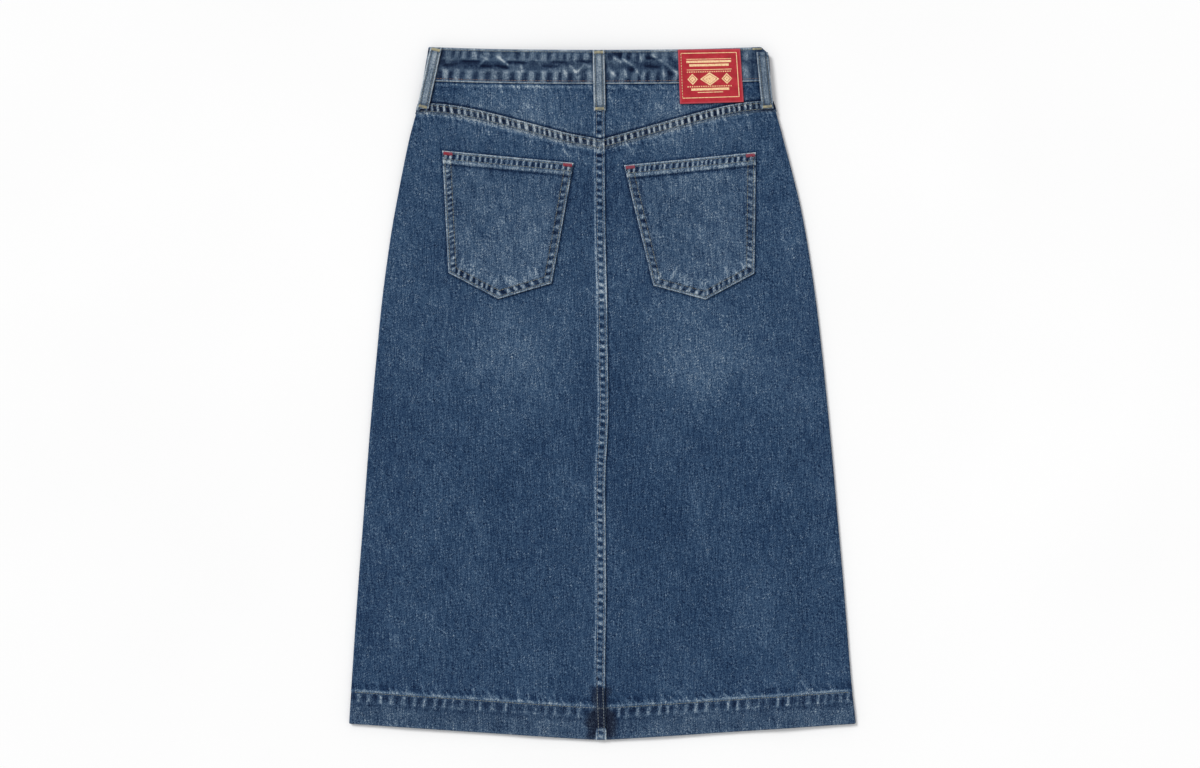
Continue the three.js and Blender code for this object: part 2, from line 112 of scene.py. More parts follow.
# Soft folds of the back: x and y of both ends, half width, height
FOLDS = [
    (-150, 60, -196, -372, 34, 0.9),
    (-62, -40, -78, -384, 26, 0.7),
    (74, 40, 66, -384, 30, 0.8),
    (176, 90, 206, -374, 36, 1),
    (190, 210, 200, 20, 18, 0.6),
    (-205, 200, -226, -90, 16, 0.5),
]
FOLD_FADE = 0.35
FOLD_CALM = (2, 24)


def lerp(a, b, t):
    return a + (b - a) * t


def smooth(value, start, end):
    t = np.clip((value - start) / (end - start), 0, 1)
    return t * t * (3 - 2 * t)


def fade(value, start, end):
    return 1 - smooth(value, start, end)


def bell(distance, half):
    return np.exp(-((distance / half) ** 2))


def tone_lines(distance, rows):
    """Soft light and dark lines along an edge. A row is the place of a line, its half width and its tone."""
    return sum(tone * bell(distance - place, half) for place, half, tone in rows)


def section(column, y):
    """Smooth curve through one column of the sections."""
    ys, values = SECTIONS[:, 0], SECTIONS[:, column]
    slopes = np.empty(len(ys))
    slopes[1:-1] = (values[2:] - values[:-2]) / (ys[2:] - ys[:-2])
    slopes[0] = (values[1] - values[0]) / (ys[1] - ys[0])
    slopes[-1] = (values[-1] - values[-2]) / (ys[-1] - ys[-2])
    i = np.clip(np.searchsorted(ys, y) - 1, 0, len(ys) - 2)
    span = ys[i + 1] - ys[i]
    t = (y - ys[i]) / span
    rest = 1 - t
    return (
        values[i] * (1 + 2 * t) * rest * rest
        + values[i + 1] * t * t * (3 - 2 * t)
        + slopes[i] * span * t * rest * rest
        - slopes[i + 1] * span * t * t * rest
    )


def left_edge(y):
    return section(LEFT, y)


def right_edge(y):
    return section(RIGHT, y)


def centre_line(y):
    return section(CENTRE, y)


def share_at(x, y):
    """Share of the half width: -1 at the left edge, 0 at the centre, 1 at the right edge."""
    out = x - centre_line(y)
    half = np.where(out < 0, centre_line(y) - left_edge(y), right_edge(y) - centre_line(y))
    return out / half


def waist_line(s):
    return WAIST_TOP - WAIST_DIP * (1 - s * s)


def front_waist_line(s):
    return waist_line(s) - FRONT_DIP * (1 - s * s)


def hem_shape(s):
    return np.hypot(s, HEM_ROUND) - HEM_ROUND


def hem_line(s):
    return HEM_SIDE - HEM_DROP * (1 - hem_shape(s) / hem_shape(1))


def yoke_seam(s):
    sag = YOKE_SAG * smooth(-s, *YOKE_SAG_FROM)
    s = np.minimum(1, np.abs(s))
    return YOKE_CENTRE + YOKE_SLOPE * ((1 + YOKE_FLATTEN) * s - YOKE_FLATTEN * s**5) - sag


def band_bottom(s):
    return waist_line(s) - BAND_HEIGHT


def front_band_bottom(s):
    return front_waist_line(s) - BAND_HEIGHT


def fold_height(fold, x, y):
    x0, y0, x1, y1, half, height = fold
    along = ((x - x0) * (x1 - x0) + (y - y0) * (y1 - y0)) / ((x1 - x0) ** 2 + (y1 - y0) ** 2)
    away = np.abs(x - lerp(x0, x1, np.clip(along, 0, 1)))
    return height * smooth(along, 0, FOLD_FADE) * bell(away, half)


def front_height(x, y):
    out = np.abs(x - centre_line(y))
    return smooth(y, *FRONT_LIFT_FROM) * (FRONT_LIFT + BUTTON_LIFT * fade(out, *BUTTON_ACROSS))


def right_front_height(x, y):
    out = x - centre_line(y)
    return front_height(x, y) + OVERLAP_RISE * smooth(y, *RISE_FROM) * fade(out, *RISE_ACROSS)


def back_height(x, y):
    out = np.abs(x - centre_line(y))
    hem_pad = HEM_PAD * fade(y - HEM_SIDE - HEM_HEIGHT / 2, 0, HEM_FADE)
    hump = CENTRE_HUMP * smooth(y, *HUMP_FROM) * fade(out, *HUMP_ACROSS)
    folds = sum(fold_height(fold, x, y) for fold in FOLDS)
    edge = np.minimum(x - left_edge(y), right_edge(y) - x)
    return BACK_HEIGHT + hem_pad + BACK_LIFT * smooth(y, *LIFT_FROM) + hump + folds * smooth(edge, *FOLD_CALM)


class Layer:
    """One layer of the flattened skirt, which rolls over at the side folds."""

    def __init__(self, height, facing):
        self.height = height
        self.facing = facing

    def points(self, x, y, out):
        middle = (back_height(x, y) + front_height(x, y)) / 2
        radius = np.abs(self.height(x, y) - middle)
        from_left = x - left_edge(y)
        from_right = right_edge(y) - x
        lean = np.clip(1 - np.minimum(from_left, from_right) / radius, 0, 1)
        rise = np.sqrt(1 - lean * lean)
        z = middle + self.facing * (SEAM_GAP / 2 + (radius - SEAM_GAP / 2) * rise)
        sideways = np.where(from_left < from_right, -lean, lean)
        return np.stack([x + sideways * out, y, z + self.facing * rise * out], -1)


BACK = Layer(back_height, 1)
FRONT_LEFT = Layer(front_height, -1)
FRONT_RIGHT = Layer(right_front_height, -1)


# Large odd numbers that scramble the lattice points, and how much of the result is used
SCRAMBLE_X, SCRAMBLE_Y = np.uint32(374761393), np.uint32(668265263)
SCRAMBLE_ALL, SCRAMBLE_END = np.uint32(1274126177), np.uint32(2246822519)
SEED_STEP = 7919
LATTICE_TOP = 0xFFFFFF


def lattice(ix, iy, seed):
    """Repeatable random value from 0 to 1 for each lattice point."""
    h = (ix.astype(np.uint32) * SCRAMBLE_X) ^ (iy.astype(np.uint32) * SCRAMBLE_Y)
    h = (h + np.uint32(seed * SEED_STEP)) * SCRAMBLE_ALL
    h = (h ^ (h >> np.uint32(15))) * SCRAMBLE_END
    return ((h ^ (h >> np.uint32(13))) & np.uint32(LATTICE_TOP)) / LATTICE_TOP


def noise(x, y, seed):
    """Smooth noise from -1 to 1, with one cell for each unit."""
    x, y = np.broadcast_arrays(np.asarray(x, float), np.asarray(y, float))
    ix, iy = np.floor(x).astype(np.int64), np.floor(y).astype(np.int64)
    fx, fy = x - ix, y - iy
    fx, fy = fx * fx * (3 - 2 * fx), fy * fy * (3 - 2 * fy)
    low = lerp(lattice(ix, iy, seed), lattice(ix + 1, iy, seed), fx)
    high = lerp(lattice(ix, iy + 1, seed), lattice(ix + 1, iy + 1, seed), fx)
    return lerp(low, high, fy) * 2 - 1


UPRIGHT = math.inf


def noises(x, y, rows, first_seed=0):
    """Noise of several sizes, added up.

    A row is its cells' width and height, how far up they shift aside by one, its seed and its weight."""
    found = 0
    for width, height, slant, seed, weight in rows:
        found = found + weight * noise(x / width + y / slant, y / height, first_seed + seed)
    return found


def strokes_on(x, y, strokes, tail=(0.55, 1.1)):
    """Short soft ridges and troughs, each between two points.

    They fade out over the tail, which is a share of their run."""
    ridges, troughs = np.zeros(np.shape(x)), np.zeros(np.shape(x))
    for x0, y0, x1, y1, half, height in strokes:
        length = math.hypot(x1 - x0, y1 - y0)
        reach = length / 2 + 2.5 * half
        near = (np.abs(x - (x0 + x1) / 2) < reach) & (np.abs(y - (y0 + y1) / 2) < reach)
        if not near.any():
            continue
        dx, dy = x[near] - x0, y[near] - y0
        tx, ty = (x1 - x0) / length, (y1 - y0) / length
        along = (dx * tx + dy * ty) / length
        away = dx * ty - dy * tx
        ends = smooth(along, -0.15, 0.2) * fade(along, *tail)
        form = height * bell(away, half) * ends
        if height > 0:
            ridges[near] = np.maximum(ridges[near], form)
        else:
            troughs[near] = np.minimum(troughs[near], form)
    return ridges + troughs


def make_bars(seed, length, spacing, later=None, weakest=0.4):
    """Uneven places of the bars that pucker a seam, and how strong each one is.

    The later half can have a spacing of its own."""
    random = np.random.default_rng(seed)
    places = [-spacing]
    while places[-1] < length + 2 * spacing:
        step = spacing if places[-1] < length / 2 else later or spacing
        places.append(places[-1] + step * random.uniform(0.7, 1.3))
    return np.array(places), random.uniform(weakest, 1, len(places))


def bar_wave(t, bars, sharp=1.8, bias=0.0):
    """Puckers along a seam: up to 1 on a bar and down to -1 between bars, which are wider with more bias."""
    places, strength = bars
    phase = np.interp(t, places, np.arange(len(places)))
    wave = np.cos(2 * math.pi * phase) - bias
    return np.interp(t, places, strength) * np.tanh(sharp * wave) / math.tanh(sharp)


def two_sided(wave, light, dark):
    return light * np.maximum(wave, 0) + dark * np.minimum(wave, 0)


# The wash. Tone runs from 0, unworn indigo, to 1, worn white. Grey takes the blue out of it.
BASE_TONE = 0.362

# Faded and dark places of the back: x, y, half width, half height, change of tone
FADES = [
    (-110, 40, 58, 56, 0.15),
    (112, 36, 60, 54, 0.14),
    (-120, 130, 90, 120, 0.045),
    (118, 130, 90, 120, 0.045),
    (-228, 160, 26, 130, 0.035),
    (212, 190, 26, 90, 0.055),
    (214, 20, 24, 90, 0.045),
    (-22, 10, 13, 120, -0.03),
    (20, 0, 16, 110, -0.04),
    (-30, 142, 18, 50, 0.035),
    (28, 152, 18, 54, 0.05),
    (80, 96, 46, 14, 0.05),
    (-88, 314, 74, 42, 0.17),
    (76, 310, 76, 42, 0.14),
    (-132, 330, 22, 12, 0.04),
    (-186, 334, 20, 22, -0.07),
    (168, 332, 16, 22, -0.06),
    (-12, 335, 9, 30, -0.05),
    (-100, 222, 90, 24, -0.02),
    (40, -150, 40, 150, -0.012),
    (-200, -150, 40, 160, 0.012),
    (160, -220, 50, 120, 0.012),
]

# The dark patch where the seam crosses the hem: where it starts and ends, how far it reaches beside the seam
# above and below the hem's stitches, and its tone
STAIN_FROM = -375
STAIN_TO = -329
STAIN_HIGH = 9.5
STAIN_LOW = 15
STAIN_BELOW = 11  # how much further down it goes beside the seam
STAIN_TONE = 0.08

# Main creases of the back: x and y of both ends, half width, height
CREASES = [
    (4, 298, 8, 286, 1.2, 0.3),
    (-10, 296, -14, 284, 1.2, 0.25),
    (-22.5, -355, -20, -366, 1.2, 0.42),
    (-20.5, -364, -12.5, -375, 1.1, 0.42),
    (-36, -355, -31, -367, 1.5, 0.36),
    (60, 300, 82, 293, 1.3, 0.25),
    (14, 336, 30, 327, 1.5, 0.3),
    (-30, 232, -22, 214, 2.6, 0.25),
    (26, 226, 14, 204, 2.6, 0.25),
    (-232, 190, -215, 160, 3.5, 0.3),
    (222, 180, 204, 150, 3.5, 0.3),
    (-150, -120, -128, -190, 5, 0.22),
    (96, -96, 120, -180, 5, 0.22),
    (206, -60, 186, -140, 4.5, 0.22),
    (-240, -240, -222, -320, 4.5, 0.25),
    (30, -220, 44, -300, 4, 0.2),
    (-96, 62, -70, 20, 4, 0.18),
    (150, 40, 128, 0, 4, 0.18),
]


# Worn wrinkles under the waistband, each with x and y of both ends, half width, height
YOKE_CREASES = [
    (-152, 344, -147, 337, 1.3, 0.48),
    (-131, 345, -128, 338, 1.3, 0.64),
    (-115, 344, -112, 335, 1.2, 0.67),
    (-101, 345, -96, 338, 1.2, 0.67),
    (-94, 343, -90, 337, 1.2, 0.58),
    (-85, 346, -79, 338, 1.3, 0.7),
    (-75, 345, -64, 340, 1.3, 0.67),
    (-60, 342, -56, 335, 1.2, 0.48),
    (-48, 341, -42, 331, 1.3, 0.38),
    (-30, 340, -27, 328, 1.4, 0.38),
    (-19, 346.5, -9, 345.5, 1.2, 0.58),
    (-120, 330, -108, 318, 1.4, 0.35),
    (-88, 326, -78, 315, 1.4, 0.32),
    (5, 345, 18, 338, 1.2, 0.7),
    (18, 346, 35, 342, 1.2, 0.67),
    (24, 342, 45, 339, 1.2, 0.58),
    (6, 333, 13, 324, 1.3, 0.54),
    (16, 330, 26, 320, 1.3, 0.42),
    (46, 345, 58, 337, 1.3, 0.48),
    (60, 346, 74, 339, 1.3, 0.51),
    (34, 330, 48, 321, 1.4, 0.35),
    (56, 327, 70, 316, 1.4, 0.35),
    (30, 316, 40, 306, 1.4, 0.32),
]


# Worn creases of the panels, in the same way
PANEL_CREASES = [
    (-21, 119, -8, 107, 1.3, 0.5),
    (-16, 107, -8, 98, 1.2, 0.34),
    (8, 118, 21, 128, 1.3, 0.3),
    (-46, 276, -35, 262, 1.3, 0.8),
    (-30, 272, -25, 258, 1.2, 0.5),
    (26, 281, 35, 268, 1.3, 0.85),
    (58, 290, 74, 281, 1.2, 0.45),
    (-26, -98, -18, -116, 1.4, 0.2),
    (-190, 262, -182, 244, 1.6, 0.22),
    (182, 262, 174, 244, 1.6, 0.22),
    (-66, 112, -60, 98, 1.6, 0.24),
    (62, 108, 56, 94, 1.6, 0.24),
]


# Unevenness: width and height of the cells, how far up they shift aside by one cell, seed, weight
STREAKS = [
    (5.5, 130, UPRIGHT, 3, 0.012),
    (2.6, 60, UPRIGHT, 4, 0.012),
    (21, 30, 60, 5, 0.016),
    (8, 12, -22, 6, 0.018),
]
BACK_RELIEF = [(37, 52, UPRIGHT, 11, 0.15), (12, 17, 40, 12, 0.07), (4.5, 6.5, UPRIGHT, 13, 0.03)]
FRONT_RELIEF = [(40, 55, UPRIGHT, 71, 0.12), (12, 18, 44, 72, 0.06)]
BAND_RELIEF = [(9, 7, 30, 51, 0.16), (4, 5, UPRIGHT, 52, 0.06)]
POCKET_WASH = [(9, 11, UPRIGHT, 5, 0.045), (3.5, 6, 14, 9, 0.03)]
LOOP_WASH = [(2.2, 5, UPRIGHT, 1, 0.04), (5, 14, UPRIGHT, 2, 0.06)]


def streaks(x, y):
    """Unevenness of the wash: long soft streaks along the warp, and marbled clouds."""
    swirl = 3 * noise(x / 9, y / 9, 9)
    marble = noise((x + swirl) / 3.6 + y / 14, (y - swirl) / 8, 10) * 0.05 * smooth(y, 60, 240)
    return noises(x, y, STREAKS) + marble


def faded(tone, x, y, fades):
    """The tone with faded and dark places added."""
    for cx, cy, rx, ry, change in fades:
        tone = tone + change * np.exp(-(((x - cx) / rx) ** 2) - ((y - cy) / ry) ** 2)
    return tone


def back_wash(x, y):
    return faded(BASE_TONE + streaks(x, y), x, y, FADES)


def hem_stain(x, y):
    aside = np.abs(x - centre_line(y))
    reach = lerp(STAIN_LOW, STAIN_HIGH, smooth(y, -360, -351)) + 3 * noise(x / 8, y / 9, 8)
    inside = fade(aside, reach - 5, reach + 4)
    off = smooth(aside, FELL_HALF - 0.5, FELL_HALF + 1)
    low, soft = STAIN_FROM - STAIN_BELOW * off, 2 + 3 * off
    return inside * smooth(y, low - soft, low + soft) * fade(y, STAIN_TO - soft, STAIN_TO + soft)


def back_relief(x, y):
    """Fine unevenness of the washed cloth, over its main form."""
    return noises(x, y, BACK_RELIEF) + strokes_on(x, y, CREASES)


def seam_strokes(seed, path, count, gap, length, slant, half, height):
    """Short puckers that leave a seam. A path is a row of points, and the strokes lie at its right hand."""
    random = np.random.default_rng(seed)
    lengths = np.concatenate([[0], np.cumsum(np.hypot(*np.diff(path, axis=0).T))])
    found = []
    for t in np.sort(random.uniform(0, lengths[-1], count)):
        i = min(int(np.searchsorted(lengths, t)), len(path) - 1)
        tangent = path[i] - path[i - 1]
        tangent = tangent / np.linalg.norm(tangent)
        right = np.array([tangent[1], -tangent[0]])
        place = np.array([np.interp(t, lengths, path[:, k]) for k in (0, 1)])
        base = place + right * random.uniform(*gap)
        lean = math.radians(random.uniform(*slant))
        run = random.uniform(*length)
        end = base + (right * math.cos(lean) + tangent * math.sin(lean)) * run
        size = random.uniform(0.45, 1) * height
        found.append((*base, *end, random.uniform(0.75, 1.3) * half, size))
    return found


def curve_points(line, s_from, s_to, shift=0, count=160):
    """Plan points along a curve of s, moved up by a shift."""
    s = np.linspace(s_from, s_to, count)
    y = line(s) + shift
    half = np.where(s < 0, centre_line(y) - left_edge(y), right_edge(y) - centre_line(y))
    return np.stack([centre_line(y) + s * half, y], -1)


BESIDE_RIGHT = np.array([(6.5, 270), (5.6, 150), (6.2, 0), (5.6, -160), (5, -320)])
BESIDE_LEFT = np.array([(-9, -320), (-7.4, -160), (-6.4, 0), (-7, 150), (-9, 270)])
YOKE_LOW_EDGE = curve_points(yoke_seam, -1, 1, -FELL_HALF)
YOKE_HIGH_EDGE = curve_points(yoke_seam, 1, -1, FELL_HALF)
BAND_EDGE = curve_points(band_bottom, -1, 1)
HEM_RIDGE = curve_points(hem_line, 1, -1, HEM_ROW + 1.5)

# Puckers along the seams: seed, path, count, gap from it, length, slant in degrees, half width, height
YOKE_PUCKERS = seam_strokes(21, YOKE_LOW_EDGE, 90, (-1, 1), (8, 17), (8, 44), 1.4, 0.34)
YOKE_EDGE_PUCKERS = seam_strokes(22, YOKE_HIGH_EDGE, 60, (0, 1.5), (5, 11), (-35, 5), 1.2, 0.24)
BAND_PUCKERS = seam_strokes(23, BAND_EDGE, 80, (0.5, 2), (8, 18), (4, 48), 1.35, 0.38)
HEM_PUCKERS = seam_strokes(24, HEM_RIDGE, 120, (0, 1.5), (8, 18), (15, 55), 1.15, 0.8)
CENTRE_PUCKERS = seam_strokes(25, BESIDE_RIGHT, 60, (0, 1), (4, 9), (-60, 60), 1.2, 0.14)
CENTRE_PUCKERS += seam_strokes(26, BESIDE_LEFT, 60, (0, 1), (4, 9), (-60, 60), 1.2, 0.14)

# Bars along the seams: seed, length, spacing, spacing of the later half, strength of the weakest
CENTRE_BARS = make_bars(31, 800, 7.8)
YOKE_BARS = make_bars(32, 520, 7.2, 6.1, 0.7)
HEM_BARS = make_bars(33, 600, 12.5, 10.4, 0.4)
BAND_BARS = make_bars(34, 420, 11.8)
BAND_TOP_BARS = make_bars(35, 420, 11.4)
FLY_BARS = make_bars(36, 800, 11)


# Light and dark lengths of the centre seam: y, half length, tone
CENTRE_LENGTHS = [(118, 20, 0.17), (84, 14, -0.1), (301, 15, -0.2)]

# Light and dark lines along the other seams, up from the seam or in from the edge: place, half width, tone
YOKE_SEAM_LINES = [(-7, 1.4, 0.2), (-11.7, 2.3, -0.09), (-4.2, 1.6, -0.09), (2.7, 1.1, -0.06)]
YOKE_SEAM_RIGHT_LINES = [(-7, 1.4, -0.12), (-4.2, 1.6, -0.1)]
HEM_LINES = [(-2, 1.8, 0.06), (7.5, 3.6, -0.15), (-9.8, 1.7, 0.09), (-13.6, 2.4, -0.09)]
# The line at the yoke's foot is painted shade in the crevice above the yoke seam's ridge.
YOKE_FOOT_SHADE_LINES = [(1.1, 1.1, -0.4)]
# The first line at the yoke's top is painted shade under the waistband's edge.
YOKE_TOP_LINES = [(0.5, 1.2, -0.2), (7.3, 1.8, -0.09)]
YOKE_TOP_LEFT_LINES = [(3.1, 1.3, 0.17)]
BAND_FOOT_LINES = [(3, 0.9, -0.1)]
BAND_TOP_LINES = [(1.1, 1, 0.28), (3.6, 1.1, -0.1), (12, 2, 0.1), (16.3, 2.4, -0.09)]
BAND_LEFT_LINES = [(25.3, 1.8, 0.1), (21.5, 1.6, -0.09)]
BAND_RIGHT_LINES = [(20.5, 3.1, -0.19)]
POCKET_ROW_LINES = [(2.4, 1.1, -0.1), (8.8, 1.3, -0.2)]
POCKET_EDGE_LINES = [(12.6, 1.2, -0.08)]
# Painted shade under the pocket's raised hem.
POCKET_HEM_SHADE_LINES = [(15.3, 1.6, -0.34)]


def stitch_groove(distance):
    """The narrow channel that a row of stitches pulls into the cloth."""
    return -0.28 * bell(distance, 0.75)


def centre_seam(x, y):
    """Relief and change of tone of the felled centre seam."""
    across = x - centre_line(y)
    aside = np.abs(across)
    on = smooth(across, -FELL_HALF - 0.9, -FELL_HALF + 0.3)
    wave = bar_wave(y + 400 + 0.16 * across, CENTRE_BARS)
    middle = fade(np.abs(across + 0.6), 2.2, 3.4)
    inside = fade(aside, 4.6, 5.8)
    rise = on * (FELL_RISE + 0.16 * middle + 0.14 * wave * inside)
    rise = rise + on * stitch_groove(aside - ROW_ASIDE)
    worn = 0.5 + 0.5 * noise(y / 34, 0.5, 41)
    bright = tone_lines(y, CENTRE_LENGTHS) + 0.05 * noise(y / 26, 3.5, 42)
    end = 0.05 * fade(y, STAIN_FROM - 2, STAIN_FROM + 3)
    tone = on * (0.11 + bright + end + middle * (two_sided(wave, 0.38, 0.36) - 0.03))
    tone = tone + on * (0.19 + 0.2 * worn) * smooth(across, 3.5, 4.5) - 0.13 * on * bell(aside - ROW_ASIDE, 1)
    tone = tone + on * (0.2 + 0.14 * (1 - worn)) * fade(across, -5.4, -4.3)
    fine = noise(x / 1.6, y / 2.2, 43) * 0.1 * on
    return rise, tone + fine


def beside_centre(x, y):
    """Change of tone right beside the centre seam: lighter at its left, and at its right a dark line that is
    partly indigo the cloth kept and partly painted shadow of the seam's folded edge.
    """
    across = x - centre_line(y)
    right = bell(across - FELL_HALF - 0.8, 1.1) * (across > FELL_HALF)
    left = bell(across + FELL_HALF + 1.1, 0.9) * (0.7 + 0.5 * noise(y / 40, 7.5, 44))
    # The dark line at the right is partly kept indigo and partly painted shadow.
    return 0.12 * left - 0.25 * right


def yoke_ridge(x, y, s):
    """Relief and change of tone of the felled yoke seam, on the back panels."""
    up = y - yoke_seam(s)
    aside = np.abs(up)
    on = smooth(up, -FELL_HALF - 0.9, -FELL_HALF + 0.3)
    wave = bar_wave(x + 260 + 0.15 * up, YOKE_BARS, 2.2, 0.2)
    middle = smooth(up, -4.2, -1.2) * fade(up, 3.6, 4.6)
    inside = fade(aside, 4.4, 5.8)
    rise = on * (FELL_RISE + 0.14 * middle + 0.24 * wave * inside + stitch_groove(aside - ROW_ASIDE))
    uneven = 1 + 0.35 * noise(x / 9, up / 5, 48)
    tone = on * (0.08 + middle * uneven * two_sided(wave, 0.36, 0.46) * (1 + 0.22 * smooth(x, 0, 30)))
    tone = tone + on * 0.24 * smooth(up, 4.2, 5) * (0.85 + 0.3 * noise(x / 12, 1.5, 45))
    tone = tone + on * 0.15 * fade(up, -5.2, -4) * (0.8 + 0.7 * noise(x / 5, 8.5, 45))
    right = smooth(x, -8, 12)
    tone = tone + tone_lines(up, YOKE_SEAM_LINES) + right * tone_lines(up, YOKE_SEAM_RIGHT_LINES)
    below = -up - FELL_HALF
    rope = bar_wave(x + 260 - 0.15 * FELL_HALF - 0.4 * below, YOKE_BARS, 1.2) * smooth(below, 0, 0.8)
    rope = rope * fade(below, 2, 10)
    fine = noise(x / 1.6, y / 2, 46) * 0.1 * on
    return rise + 0.18 * rope, tone + 0.09 * rope + fine


def hem_band(x, y, s):
    """Relief and change of tone of the turned-up hem, its ridge and its puckers."""
    up = y - hem_line(s) - HEM_ROW
    bars = bar_wave(x + 300 - 0.1 * up, HEM_BARS, 1.6, 0.4)
    light = np.clip(bars, 0, 1) ** 2.2
    dark = np.clip(-bars, 0, 1)
    below = smooth(-up, 0.3, 1.5) * fade(-up, 7.5, 14)
    ridge = bell(up - 2, 1.25)
    rise = stitch_groove(up) * 1.2 + 0.3 * ridge * (0.8 + 0.3 * noise(x / 7, 2.5, 47))
    rise = rise + below * (0.3 * light - 0.16 * dark)
    tone = 0.41 * ridge * (0.8 + 0.4 * noise(x / 9, 4.5, 48)) + tone_lines(up, HEM_LINES)
    tone = tone + below * (0.66 * light - 0.29 * dark) + 0.05 * smooth(-up, 30, 33.5)
    tone = tone + 0.06 * smooth(-up, 2, 8) * (1 + noise(x / 14, y / 12, 50))
    return rise, tone


# Shells. A grid is rows and columns of points, from the bottom left, with their wash.
ROUND_STEPS = (0.12, 0.35, 0.7, 1.2)
END_STEPS = {
    "plain": (0,),
    "round": (0, *ROUND_STEPS),
    "curl": (0, 0.1, 0.4, 0.9, 1.6, 2.5, 3.6, 5),
    "strip": (0, *ROUND_STEPS, *np.arange(2, 17, 0.85)),
    "near": (0, *ROUND_STEPS, *np.arange(2.1, 12, 1.1)),
}


def ticks(length, step, start="plain", end="plain"):
    """Shares from 0 to 1 along a length, evenly stepped, and closer at its ends where they ask for it."""
    low = list(END_STEPS[start])
    high = [length - d for d in reversed(END_STEPS[end])]
    count = max(2, round((high[0] - low[-1]) / step) + 1)
    between = np.linspace(low[-1], high[0], count)[1:-1]
    return np.array([*low, *between, *high]) / length


class Grid:
    def __init__(self, points, tone, grey, cloth, across, up):
        self.points = points
        self.tone = np.broadcast_to(tone, points.shape[:2])
        self.grey = np.broadcast_to(grey, points.shape[:2])
        self.cloth = cloth
        self.across = across
        self.up = up


def zip_lines(a, pa, b, pb):
    """Triangles between two lines of points that run the same way, each with its own spacing."""
    faces, i, j = [], 0, 0
    while i < len(a) - 1 or j < len(b) - 1:
        if j == len(b) - 1 or (i < len(a) - 1 and pa[i + 1] <= pb[j + 1]):
            faces.append((a[i], a[i + 1], b[j]))
            i += 1
        else:
            faces.append((a[i], b[j + 1], b[j]))
            j += 1
    return faces


def quads_of(index):
    return np.stack([index[:-1, :-1], index[:-1, 1:], index[1:, 1:], index[1:, :-1]], -1).reshape(-1, 4)


def make_object(name, points, faces, attributes=None, cloth=None, materials=(), smooth_angle=55):
    mesh = bpy.data.meshes.new(name)
    mesh.from_pydata((np.asarray(points) * MM).tolist(), [], faces)
    for key, values in (attributes or {}).items():
        layer = mesh.attributes.new(key, "FLOAT", "POINT")
        layer.data.foreach_set("value", np.ascontiguousarray(values, np.float32))
    if cloth is not None:
        corner = np.empty(len(mesh.loops), np.int32)
        mesh.loops.foreach_get("vertex_index", corner)
        layer = mesh.uv_layers.new(name="cloth")
        layer.data.foreach_set("uv", (cloth[corner] * MM).astype(np.float32).ravel())
    mesh.shade_smooth()
    mesh.set_sharp_from_angle(angle=math.radians(smooth_angle))
    for material in materials:
        mesh.materials.append(material)
    mesh.validate()
    made = bpy.data.objects.new(name, mesh)
    bpy.context.scene.collection.objects.link(made)
    return made


def make_shell(name, grids, inner, facing, materials):
    """Closed piece of cloth: the grids one above the other outside, one plain grid inside, and a rim."""
    indices, start = [], 0
    for grid in [*grids, inner]:
        rows, columns = grid.points.shape[:2]
        indices.append(start + np.arange(rows * columns).reshape(rows, columns))
        start += rows * columns
    inside = indices.pop()
    faces = []
    for index in indices:
        faces += quads_of(index).tolist()
    for low, high, a, b in zip(indices, indices[1:], grids, grids[1:]):
        faces += zip_lines(low[-1], a.across, high[0], b.across)
    outer_count = len(faces)
    faces += quads_of(inside)[:, ::-1].tolist()
    left = np.concatenate([index[:, 0] for index in indices])
    right = np.concatenate([index[:, -1] for index in indices])
    up = np.concatenate([grid.up for grid in grids])
    faces += zip_lines(inside[0], inner.across, indices[0][0], grids[0].across)
    faces += zip_lines(inside[:, -1], inner.up, right, up)
    top_inside, top_outside = inside[-1, ::-1], indices[-1][-1, ::-1]
    faces += zip_lines(top_inside, 1 - inner.across[::-1], top_outside, 1 - grids[-1].across[::-1])
    faces += zip_lines(inside[::-1, 0], 1 - inner.up[::-1], left[::-1], 1 - up[::-1])
    if facing < 0:
        faces = [face[::-1] for face in faces]
    everything = [*grids, inner]
    flat = {
        "tone": np.concatenate([g.tone.ravel() for g in everything]),
        "grey": np.concatenate([g.grey.ravel() for g in everything]),
    }
    points = np.concatenate([g.points.reshape(-1, 3) for g in everything])
    cloth = np.concatenate([g.cloth.reshape(-1, 2) for g in everything])
    made = make_object(name, points, faces, flat, cloth, materials)
    kinds = np.zeros(len(faces), np.int32)
    kinds[outer_count : outer_count + (inner.points.shape[0] - 1) * (inner.points.shape[1] - 1)] = 1
    made.data.polygons.foreach_set("material_index", kinds)
    return made


def plan_grid(start, end, ups, left, right, acrosses):
    """Plan points of a grid: rows between two curves of s, columns between two lines of y."""
    s = share_at(lerp(left(0.0), right(0.0), acrosses), 0.0)
    y = start(s) + (end(s) - start(s)) * ups[:, None]
    x = lerp(left(y), right(y), acrosses)
    return x, y, np.broadcast_to(s, y.shape)


def rim_drop(distance, radius):
    """How far a rounded edge falls away, at a distance from it."""
    inwards = np.clip(radius - distance, 0, radius)
    return radius - np.sqrt(radius * radius - inwards * inwards)


def fell_end(y):
    return centre_line(y) + FELL_HALF


def past_fell(y):
    return centre_line(y) + FELL_HALF + SEAM_GAP


def side_lines(side):
    return (left_edge, fell_end) if side < 0 else (past_fell, right_edge)


INNER_STEP = 12
INNER_TONE = 0.6
INNER_GREY = 0.45


def plan_cloth(x, y):
    return np.stack([x, y], -1)


